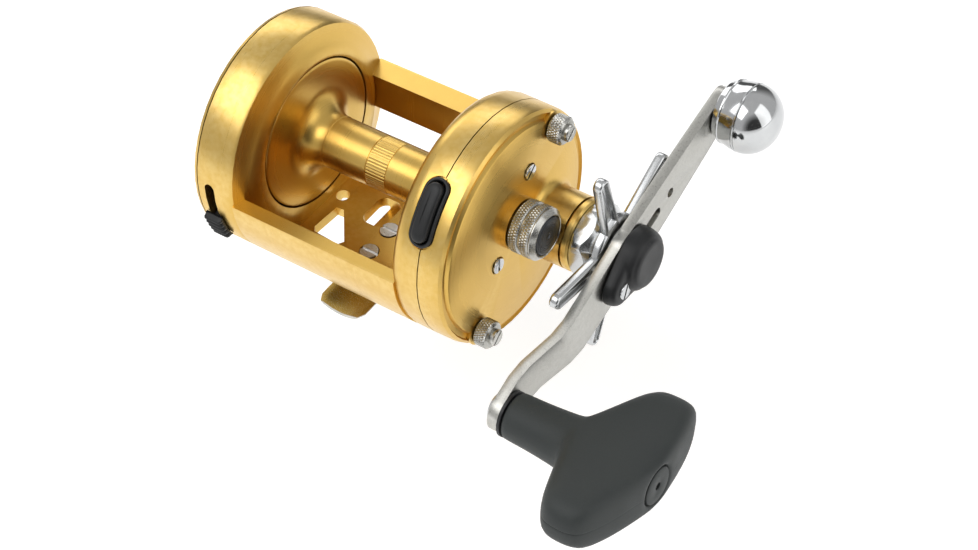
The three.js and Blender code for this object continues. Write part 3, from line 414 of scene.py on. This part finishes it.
def loft(rings, closed=False):
    """Skin over rings of equal length. A one-point ring is a pole, and open ends get a flat cap."""
    points, starts = [], []
    for ring in rings:
        starts.append(len(points))
        points.extend(ring)
    faces = []
    order = list(range(len(rings))) + ([0] if closed else [])
    for a, b in zip(order, order[1:]):
        size = max(len(rings[a]), len(rings[b]))
        for k in range(size):
            n = (k + 1) % size
            low = [starts[a] + k, starts[a] + n] if len(rings[a]) > 1 else [starts[a]]
            high = [starts[b] + n, starts[b] + k] if len(rings[b]) > 1 else [starts[b]]
            faces.append(low + high)
    if not closed:
        for index in (0, len(rings) - 1):
            if len(rings[index]) > 1:
                faces.append([starts[index] + k for k in range(len(rings[index]))])
    return points, faces


def turned_skin(profile, axis, count=64, closed=False):
    """Lathe skin from (x, radius) pairs."""
    return loft([axis.ring(x, r, count) for x, r in profile], closed)


def make(name, skins, body, material, stands_for, crease, subdivide=0):
    """One object from closed skins, riding on a body and standing for CAD nodes.

    Edges sharper than the crease, in degrees, stay sharp in the shading.
    """
    mesh = bpy.data.meshes.new(name)
    build = bmesh.new()
    for points, faces in skins:
        corners = [build.verts.new(p) for p in points]
        for face in faces:
            build.faces.new([corners[k] for k in face])
    bmesh.ops.recalc_face_normals(build, faces=build.faces)
    for edge in build.edges:
        if len(edge.link_faces) == 2 and edge.calc_face_angle() > math.radians(crease):
            edge.smooth = False
    for face in build.faces:
        face.smooth = True
    build.to_mesh(mesh)
    build.free()
    mesh.materials.append(material)
    obj = bpy.data.objects.new(name, mesh)
    bpy.context.scene.collection.objects.link(obj)
    if subdivide:
        obj.modifiers.new("rounding", "SUBSURF").levels = subdivide
        obj.modifiers["rounding"].render_levels = subdivide
    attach(obj, body)
    if stands_for:
        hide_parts(*stands_for)
    return obj


# ------------------------------------------------------------ grip

GRIP_TILT = math.radians(-13)
# Squareness of a section: 2 is an ellipse, and more is closer to a rectangle.
ROUND_POWER = 2
SHOULDER_POWER = 2.3
BAR_POWER = 4.6
POWER_STEP = 0.45
SEAM_DEPTH = 0.3
FINE_STEPS = 200
SEAM_STEPS = [0, 0.16, 0.45]
EVEN_STEPS = 10


def squared_quarter(length, width, power):
    """Quarter of a rounded rectangle from its long end: close steps at the seam, then even ones."""
    fine = []
    for k in range(FINE_STEPS + 1):
        t = math.pi / 2 * k / FINE_STEPS
        fine.append((length * math.cos(t) ** (2 / power), width * math.sin(t) ** (2 / power)))
    reach = [0.0]
    for p, q in zip(fine, fine[1:]):
        reach.append(reach[-1] + math.dist(p, q))
    begin = SEAM_STEPS[-1]
    rest = reach[-1] - begin
    wanted = SEAM_STEPS + [begin + rest * k / EVEN_STEPS for k in range(1, EVEN_STEPS + 1)]
    picked, k = [], 0
    for want in wanted:
        while k < len(reach) - 2 and reach[k + 1] < want:
            k += 1
        share = min(1.0, (want - reach[k]) / max(1e-9, reach[k + 1] - reach[k]))
        picked.append(tuple(a + (b - a) * share for a, b in zip(fine[k], fine[k + 1])))
    return picked


def grip_section(axis, x, length, width, power, seam):
    """Ring across the grip, with its two ends drawn in by the depth of the moulding seam."""
    quarter = squared_quarter(length, width, power)
    quarter[0] = (quarter[0][0] - seam, 0.0)
    first = quarter + [(-a, b) for a, b in reversed(quarter[:-1])]
    outline = first + [(a, -b) for a, b in reversed(first[1:-1])]
    return [axis.at(x, a, b) for a, b in outline]


def make_grip():
    axis = Axis(GRIP_AXIS, GRIP_TILT)
    x0, x1 = span("grip_body")
    neck = [
        (0, 5.9, 5.9), (0.25, 6.35, 6.35), (3, 6.45, 6.4), (7, 6.6, 6.5),
        (12, 7.0, 6.8), (16.4, 7.5, 7.1), (18.2, 8.2, 7.3),
    ]
    shoulder = [
        (19.2, 10.2, 7.45), (20.7, 14.4, 7.65), (22.5, 19.4, 7.75),
        (24.0, 23.4, 7.8), (25.5, 26.2, 7.8),
    ]
    bar = [(27.6, 28, 7.8), (30, 28.5, 7.8), (33.0, 28.5, 7.8), (35.4, 28.1, 7.75), (37.2, 26.9, 7.65)]
    crown = [
        (-4.2, 24.3, 7.55), (-3.0, 20.9, 7.45), (-2.0, 17, 7.3),
        (-1.15, 12.8, 7.1), (-0.5, 9, 6.8), (0, 6.5, 6.2),
    ]
    rings = []
    for offset, length, width in neck:
        rings.append(grip_section(axis, x0 + offset, length, width, ROUND_POWER, 0))
    for k, (offset, length, width) in enumerate(shoulder):
        power = SHOULDER_POWER + POWER_STEP * k
        seam = 0.2 * min(k, 1)
        rings.append(grip_section(axis, x0 + offset, length, width, power, seam))
    for offset, length, width in bar:
        rings.append(grip_section(axis, x0 + offset, length, width, BAR_POWER, SEAM_DEPTH))
    for k, (offset, length, width) in enumerate(crown):
        power = BAR_POWER - POWER_STEP * k
        rings.append(grip_section(axis, x1 + offset, length, width, power, SEAM_DEPTH))
    rings.append(grip_section(axis, x1 - 0.25, 5.5, 5.5, ROUND_POWER, 0))
    rings.append(grip_section(axis, x1 - 2.2, 5.45, 5.45, ROUND_POWER, 0))
    make(
        "grip_moulding", [loft(rings)], "grip", RUBBER, ("grip_body",),
        crease=60, subdivide=1,
    )


def make_grip_plug():
    axis = Axis(GRIP_AXIS)
    x0, x1 = span("grip_plug")
    profile = [
        (x0, 0), (x0, 5.2), (x1 - 0.5, 5.2), (x1 - 0.2, 5.1), (x1, 4.75), (x1, 1.3),
        (x1 - 0.15, 1.05), (x1 - 1.5, 0.95), (x1 - 1.5, 0),
    ]
    skin = turned_skin(profile, axis)
    make("grip_end_plug", [skin], "grip", RUBBER, ("grip_plug",), crease=40)


# ------------------------------------------------------------ knurled metal

KNURL_DEPTH = 0.22
COIN_SLOT_TILT = math.radians(35)


def plain_rings(axis, profile, count):
    return [axis.ring(x, radius, count) for x, radius in profile]


def knurl(radius, depth, teeth, turn):
    """Radius of a diamond knurl at one height, as a function of the angle."""
    def at(angle):
        u = teeth * angle / (2 * math.pi)
        one = abs((u + turn) % 1 - 0.5) * 2
        two = abs((u - turn) % 1 - 0.5) * 2
        return radius - depth * (1 - min(1.0, 1.5 * min(one, two)))
    return at


def knurled_band(axis, xa, xb, radius, teeth, depth, rows):
    """Rings of a knurled band, with plain edges level with the bottom of the grooves."""
    pitch = 2 * math.pi * radius / teeth
    rings = [axis.ring(xa, radius - depth, teeth * 4)]
    for k in range(1, rows):
        x = xa + (xb - xa) * k / rows
        rings.append(axis.ring(x, knurl(radius, depth, teeth, (x - xa) / pitch / 2), teeth * 4))
    rings.append(axis.ring(xb, radius - depth, teeth * 4))
    return rings


def make_tension_knob():
    axis = Axis(SPOOL_AXIS)
    x0, x1 = span("tension_knob")
    teeth, radius, rows = 56, 7.3, 12
    count = teeth * 4
    rim = [
        (x1 - 1.7, 7.05), (x1 - 1.35, 7.25), (x1 - 1.1, 7.2), (x1 - 0.25, 6.35), (x1, 6.05),
        (x1, 5.75), (x1 - 0.15, 5.62), (x1 - 0.8, 5.6), (x1 - 0.8, 0),
    ]
    rings = plain_rings(axis, [(x0, 0), (x0, 6.7), (x0 + 0.25, 6.95)], count)
    rings += knurled_band(axis, x0 + 0.35, x0 + 2.9, radius, teeth, KNURL_DEPTH, rows)
    rings += plain_rings(axis, [(x0 + 3.1, 6.75), (x0 + 3.5, 6.75)], count)
    rings += knurled_band(axis, x0 + 3.7, x1 - 1.9, radius, teeth, KNURL_DEPTH, rows)
    rings += plain_rings(axis, rim, count)
    replaced = ("tension_knob",)
    make(
        "knurled_tension_knob", [loft(rings)], "tension_knob", NICKEL_KNOB, replaced,
        crease=30,
    )


def make_knob_cap():
    axis = Axis(SPOOL_AXIS)
    x0, x1 = span("tension_knob_cap")
    profile = [
        (x0, 0), (x0, 5.35), (x1 - 0.25, 5.35), (x1 - 0.06, 5.25), (x1, 5.05), (x1 - 0.02, 3.4),
        (x1 - 0.05, 0.9), (x1 - 0.2, 0.7), (x1 - 0.28, 0.35), (x1 - 0.2, 0),
    ]
    skin = turned_skin(profile, axis)
    replaced = ("tension_knob_cap",)
    make("tension_knob_disc", [skin], "tension_knob", DISC, replaced, crease=30)


def half_moon(axis, xa, xb, radius, gap, side):
    """One half of a slotted nub."""
    outlines = []
    for x, r in ((xa, radius), (xb - 0.25, radius), (xb, radius - 0.25)):
        flat = gap if r == radius else gap + 0.1
        begin = math.asin(flat / r)
        angles = [begin + (math.pi - 2 * begin) * k / 20 for k in range(21)]
        outlines.append([axis.at(x, r * math.cos(a) * side, r * math.sin(a) * side) for a in angles])
    return loft(outlines)


def make_thumb_screw(node):
    axis = Axis(axis_of(node), COIN_SLOT_TILT)
    x0, x1 = span(node)
    drum = x1 - 5.5
    teeth, radius, rows = 34, 3.9, 16
    count = teeth * 4
    shank = [(x0, 0), (x0, 1.25), (drum - 0.1, 1.3), (drum - 0.1, 3.3), (drum + 0.15, 3.5)]
    rings = plain_rings(axis, shank, count)
    rings += knurled_band(axis, drum + 0.3, x1 - 1.75, radius, teeth, KNURL_DEPTH, rows)
    face = [(x1 - 1.6, 3.55), (x1 - 1.3, 3.2), (x1 - 1.25, 2.5), (x1 - 1.25, 0)]
    rings += plain_rings(axis, face, count)
    moons = [half_moon(axis, x1 - 1.3, x1, 2.3, 0.42, side) for side in (1, -1)]
    make(
        "knurled_" + node, [loft(rings), *moons], node, NICKEL_KNOB, (node,),
        crease=30,
    )


# ------------------------------------------------------------ counterweight

def make_ball():
    axis = Axis(WEIGHT_AXIS)
    x0, x1 = span("counterweight_ball")
    bead = x0 + 7.3
    profile = [
        (x0, 0), (x0, 7.5), (x0 + 0.3, 7.85), (x0 + 1.2, 8.2), (x0 + 1.7, 8.35), (x0 + 1.95, 8.9),
        (x0 + 2.15, 9.1), (x0 + 2.45, 9.08), (x0 + 2.65, 8.9), (x0 + 3.2, 8.98), (x0 + 4.4, 9.25),
        (x0 + 5.6, 9.47), (x0 + 6.6, 9.58), (bead - 0.45, 9.6), (bead - 0.36, 9.42),
        (bead - 0.28, 9.42), (bead - 0.2, 9.6), (bead, 9.7), (bead + 0.2, 9.6),
        (bead + 0.28, 9.42), (bead + 0.36, 9.42), (bead + 0.45, 9.6),
    ]
    steps = 18
    dome = x1 - bead - 0.45
    for k in range(1, steps):
        angle = math.pi / 2 * k / steps
        profile.append((bead + 0.45 + dome * math.sin(angle) ** 1.08, 9.6 * math.cos(angle) ** 0.92))
    profile.append((x1, 0))
    skin = turned_skin(profile, axis, 96)
    make(
        "counterweight_shell", [skin], "crank", CHROME, ("counterweight_ball",),
        crease=28,
    )


# ------------------------------------------------------------ handle-nut cover

COVER_TAIL = 9.4
COVER_VOXEL = 0.26
ARM_TILT = math.radians(17)


def teardrop(big, small, reach, inset, count=72):
    """Outline round two circles, the small one towards -across."""
    big, small = big - inset, small - inset
    lean = math.acos((big - small) / reach)
    points = []
    for k in range(count // 2 + 1):
        angle = -(math.pi - lean) + 2 * (math.pi - lean) * k / (count // 2)
        points.append((big * math.cos(angle), big * math.sin(angle)))
    for k in range(count // 2 + 1):
        angle = (math.pi - lean) + 2 * lean * k / (count // 2)
        points.append((-reach + small * math.cos(angle), small * math.sin(angle)))
    return points


def make_nut_cover():
    axis = Axis(CRANK_AXIS, ARM_TILT)
    x0, x1 = span("nut_cover")
    steps = ((0, 0.1), (0.2, 0), (1.8, 0.12), (2.9, 0.5), (3.5, 1.1), (3.75, 1.9))
    rings = []
    for height, inset in steps:
        outline = teardrop(8.8, 5.2, COVER_TAIL, inset)
        rings.append([axis.at(x0 + height, a, b) for a, b in outline])
    dome = [
        (x0, 0), (x0, 8.7), (x0 + 2.4, 8.6), (x0 + 3.9, 8.2), (x0 + 4.8, 7.7), (x1 - 0.9, 7.1),
        (x1 - 0.25, 6.5), (x1 - 0.02, 5.7), (x1, 4), (x1, 0),
    ]
    skins = [loft(rings), turned_skin(dome, axis, 72)]
    cover = make(
        "handle_nut_cover", skins, "crank", BLACK, ("nut_cover",),
        crease=60,
    )
    remesh = cover.modifiers.new("one_skin", "REMESH")
    remesh.mode = "VOXEL"
    remesh.voxel_size = COVER_VOXEL * MM
    remesh.use_smooth_shade = True
    soften = cover.modifiers.new("soft_joins", "SMOOTH")
    soften.factor = 0.5
    soften.iterations = 7
    screw = Axis(axis_of("cover_lock_screw"))
    high = span("cover_lock_screw")[1]
    rim = [
        (high - 1.0, 2.45), (high - 0.55, 2.45), (high - 0.4, 2.6),
        (high - 0.45, 3.0), (high - 0.75, 3.25), (high - 1.0, 3.3),
    ]
    skin = turned_skin(rim, screw, 48, True)
    make("lock_screw_rim", [skin], "crank", BLACK, (), crease=60)


# ------------------------------------------------------------ star drag

STAR_ARMS = 5
STAR_FIRST_ARM = math.radians(27.4)


def star_arm(axis, x0, x1, turn):
    """Channelled arm: nested outlines rise up the sides, over the rim and down into the channel."""
    tip, half_root, half_tip = 26.0, 2.9, 2.2
    deep = x0 + 1.15
    inner = 6
    steps = (
        (x0, 0.55, inner), (x0 + 0.12, 0.25, inner), (x0 + 0.45, 0.04, inner), (x0 + 0.9, 0, inner),
        (x1 - 0.85, 0, inner), (x1 - 0.4, 0.08, inner), (x1 - 0.12, 0.3, inner),
        (x1, 0.6, 9.6), (x1 - 0.1, 0.82, 10), (x1 - 0.5, 1.0, 10.3),
        (deep + 0.3, 1.12, 10.6), (deep + 0.06, 1.3, 10.9), (deep, 1.6, 11.3),
    )
    cos, sin = math.cos(turn), math.sin(turn)
    rings = []
    for x, inset, root in steps:
        share = (tip - root) / (tip - inner)
        wide = half_tip + (half_root - half_tip) * share - inset
        round_tip = half_tip - inset
        outline = [(root, -wide), ((root + tip) / 2, -(wide + round_tip) / 2)]
        for k in range(17):
            angle = -math.pi / 2 + math.pi * k / 16
            outline.append((tip + round_tip * math.cos(angle), round_tip * math.sin(angle)))
        outline += [((root + tip) / 2, (wide + round_tip) / 2), (root, wide)]
        rings.append([axis.at(x, a * cos - b * sin, a * sin + b * cos) for a, b in outline])
    return loft(rings)


def make_star():
    axis = Axis(CRANK_AXIS)
    x0, x1 = span("star_wheel")
    skins = []
    for k in range(STAR_ARMS):
        skins.append(star_arm(axis, x0, x1, STAR_FIRST_ARM + 2 * math.pi * k / STAR_ARMS))
    hub = [
        (x0, 5.2), (x0, 9.2), (x0 + 0.4, 9.7), (x1 - 0.8, 9.7),
        (x1 - 0.25, 9.3), (x1, 8.6), (x1, 5.6), (x1 - 0.25, 5.3),
    ]
    skins.append(turned_skin(hub, axis, 72, True))
    make("star_drag_wheel", skins, "star", CHROME_SATIN, ("star_wheel",), crease=50)


# ------------------------------------------------------------ free-spool button and clicker

BUTTON_ANGLE = math.radians(137)


def polar(axis, x, radius, angle):
    return axis.at(x, radius * math.cos(angle), radius * math.sin(angle))


def pill(half_width, half_length, inset, count=12):
    """Outline with round ends as (x, along) pairs."""
    radius = half_width - inset
    reach = half_length - half_width
    points = []
    for end in (1, -1):
        for k in range(count + 1):
            angle = math.pi * k / count
            points.append((end * radius * math.cos(angle), end * (reach + radius * math.sin(angle))))
        for k in range(1, 6):
            points.append((-end * radius, end * reach * (1 - k / 3)))
    return points


def on_ring(centre_x, outline, height):
    """Points of an outline wrapped on the ring at the button, at a height over its surface."""
    axis = Axis(RING_AXIS)
    points = []
    for x, along in outline:
        points.append(polar(axis, centre_x + x, RING_R + height, BUTTON_ANGLE - along / RING_R))
    return points


def make_button():
    x = sum(span("button_bezel")) / 2
    rim = (
        (0.0, -0.6), (0.0, 0.3), (0.12, 0.52), (0.4, 0.66),
        (0.7, 0.62), (0.88, 0.4), (0.96, 0.1), (0.96, -0.6),
    )
    rings = [on_ring(x, pill(3.4, 9.25, inset), height) for inset, height in rim]
    make(
        "button_frame", [loft(rings, True)], "frame", BLACK, ("button_bezel",),
        crease=60,
    )
    crown = (
        (0, -1.1), (0, 0.9), (0.06, 1.4), (0.25, 1.8),
        (0.6, 2.02), (1.1, 2.14), (1.7, 2.22), (2.0, 2.24),
    )
    rings = [on_ring(x, pill(2.25, 7.75, inset), height) for inset, height in crown]
    replaced = ("free_spool_button",)
    make("button_cap", [loft(rings)], "button", BLACK, replaced, crease=60)


PAD_FIRST = math.radians(189.6)
PAD_LAST = math.radians(204.4)
PAD_RIBS = 5
TONGUE_FIRST = math.radians(192.5)
TONGUE_SWEEP = math.radians(9)


def make_clicker():
    """Thumb piece with rounded ribs across it, on the left ring."""
    axis = Axis(RING_AXIS)
    middle = sum(span("click_slider")) / 2
    half = 2.7
    base = RING_R + 0.35
    steps = PAD_RIBS * 8
    pad = []
    for k in range(steps + 1):
        share = k / steps
        wave = 0.5 - 0.5 * math.cos(2 * math.pi * PAD_RIBS * share)
        ribbed = RING_R + 1.1 + 1.15 * wave ** 0.6
        ends = min(1.0, 14 * share, 14 * (1 - share)) ** 0.5
        top = base + (ribbed - base) * max(0.25, ends)
        side = [
            (-half + 0.1, RING_R + 0.3), (-half, RING_R + 0.6), (-half, top - 0.45),
            (-half + 0.35, top - 0.08), (-half + 0.9, top),
        ]
        side += [(-x, r) for x, r in reversed(side)]
        angle = PAD_FIRST + (PAD_LAST - PAD_FIRST) * share
        pad.append([polar(axis, middle + x, r, angle) for x, r in side])
    deep, proud = RING_R - 4, RING_R + 0.6
    corners = [(-1.2, deep), (-1.2, proud), (1.2, proud), (1.2, deep)]
    tongue = []
    for k in range(5):
        angle = TONGUE_FIRST + TONGUE_SWEEP * k / 4
        tongue.append([polar(axis, middle + x, r, angle) for x, r in corners])
    skins = [loft(pad), loft(tongue)]
    make(
        "clicker_thumb_piece", skins, "clicker", BLACK, ("click_slider",),
        crease=60,
    )


# ------------------------------------------------------------ spool

BAND = (-2.3, 3.9)
BAND_RIBS = 52


def make_spool():
    """Spool with eased flange lips, cove fillets and a fine ribbed band round the arbor."""
    axis = Axis(SPOOL_AXIS)
    x0, x1 = span("spool")
    left, right = x0 + 4.0, x1 - 3.2
    arbor, cove, flange, bore = 7.4, 6.5, 21.2, 2.0
    turned, groove = arbor - 0.12, arbor - 0.3
    profile = [
        (x0, bore), (x0, 5), (x0 + 1.6, 5), (x0 + 1.6, flange - 0.15), (x0 + 1.75, flange),
        (left - 0.35, flange), (left - 0.08, flange - 0.12), (left + 0.06, flange - 0.4),
        (left + 0.14, flange - 0.9), (left + 0.4, flange - 4),
    ]
    lip = 6
    for k in range(15):
        angle = math.pi / 2 * k / 14
        x = left + 0.6 + cove * (1 - math.cos(angle))
        profile.append((x, arbor + cove * (1 - math.sin(angle))))
    edge = left + 0.6 + cove
    profile += [(edge + 0.25, arbor), (edge + 0.35, turned), (edge + 0.5, turned)]
    mirrored = [(right - (x - left), r) for x, r in reversed(profile[lip:])]
    mirrored += [(x1 - 1.5, flange), (x1 - 1.3, flange - 0.15), (x1 - 1.3, 5.2), (x1, 5.2), (x1, bore)]

    def ribbed(angle):
        return arbor - 0.1 - 0.16 * (0.5 + 0.5 * math.cos(BAND_RIBS * angle)) ** 2

    start, end = BAND
    profile += [(start - 0.35, turned), (start - 0.25, groove), (start - 0.05, groove)]
    profile += [(start + 0.05, ribbed), (end - 0.05, ribbed)]
    profile += [(end + 0.05, groove), (end + 0.25, groove), (end + 0.35, turned)]
    skin = turned_skin(profile + mirrored, axis, 192, True)
    make("spool_turning", [skin], "spool", GOLD_SPOOL, ("spool",), crease=30)


# ------------------------------------------------------------ foot

def make_foot():
    """Stamped channel foot: edges turned up, thin round tips, a flat seat under the frame."""
    low, high = (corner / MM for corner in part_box("foot"))
    middle = (low.x + high.x) / 2
    half = (high.x - low.x) / 2
    plate, upturn = 1.1, 1.5
    rows = []
    steps = 28
    for k in range(steps + 1):
        y = low.y + (high.y - low.y) * k / steps
        from_tip = min(y - low.y, high.y - y)
        seat = min(1.0, max(0.0, (from_tip - 8) / 7))
        seat = seat * seat * (3 - 2 * seat)
        round_tip = 1 - 0.16 * max(0.0, 1 - from_tip / 2.6) ** 2.2
        width = half * round_tip * (0.93 + 0.07 * seat)
        thick = plate + (high.z - plate) * seat
        upper, lower = [], []
        for n in range(17):
            share = n / 8 - 1
            x = middle + width * share
            curl = upturn * (1 - seat) * share * share
            soft = 0.35 * abs(share) ** 8
            upper.append(Vector((x, y, thick + curl - soft)) * MM)
            lower.append(Vector((x, y, curl + soft)) * MM)
        rows.append(upper + lower[::-1])
    make("stamped_foot", [loft(rows)], "frame", STEEL_FOOT, ("foot",), crease=50)


# ------------------------------------------------------------ CAD nodes that keep their shape

DRESS_ANGLE = math.radians(32)
WELD_DISTANCE = 1e-6


def dress(node, material, bevel=0.0):
    """Material, soft edges and smooth shading on a CAD node, without moving its points."""
    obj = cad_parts[node]
    obj.data.materials.clear()
    obj.data.materials.append(material)
    for face in obj.data.polygons:
        face.use_smooth = True
    weld = obj.modifiers.new("weld", "WELD")
    weld.merge_threshold = WELD_DISTANCE
    if bevel:
        edges = obj.modifiers.new("edges", "BEVEL")
        edges.width = bevel * MM
        edges.segments = 2
        edges.limit_method = "ANGLE"
        edges.angle_limit = DRESS_ANGLE
    split = obj.modifiers.new("split", "EDGE_SPLIT")
    split.split_angle = DRESS_ANGLE


# Nodes not named here are plain steel. Those that a detailed piece stands for need no line.
DRESSING = {
    "frame_body": (GOLD_RING,),
    "left_cover": (GOLD_RING,),
    "side_plate": (GOLD_RING,),
    "boss_ring": (GOLD_CRANK,),
    "handle_arm": (NICKEL_ARM, 0.35),
    "star_collar": (CHROME_SATIN, 0.25),
    "plate_screw_upper": (CHROME, 0.15),
    "plate_screw_lower": (CHROME, 0.15),
    "cover_lock_screw": (CHROME, 0.15),
    "grip_washer": (BLACK,),
    "main_gear": (BRASS_CRANK,),
    "drag_sleeve": (BRASS_CRANK,),
    "pinion": (BRASS_SPOOL,),
    "click_wheel": (BRASS_SPOOL,),
    "tension_shim": (BRASS_SPOOL,),
    "drag_washer_inner": (FIBRE,),
    "drag_washer_outer": (FIBRE,),
    "counterweight_rivet": (STEEL_CRANK,),
    "drive_shaft": (STEEL_CRANK,),
    "ratchet_wheel": (STEEL_CRANK,),
    "drag_pressure_plate": (STEEL_CRANK,),
    "drag_spring_washer": (STEEL_CRANK,),
    "handle_nut": (STEEL_CRANK,),
    "handle_bearing": (STEEL_CRANK,),
    "grip_spindle": (STEEL_CRANK,),
}

for node_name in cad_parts:
    dress(node_name, *DRESSING.get(node_name, (STEEL_SPOOL,)))

make_grip()
make_grip_plug()
make_tension_knob()
make_knob_cap()
for screw in ("thumb_screw_upper", "thumb_screw_lower"):
    make_thumb_screw(screw)
make_ball()
make_nut_cover()
make_star()
make_button()
make_clicker()
make_spool()
make_foot()

add_camera()
add_studio()
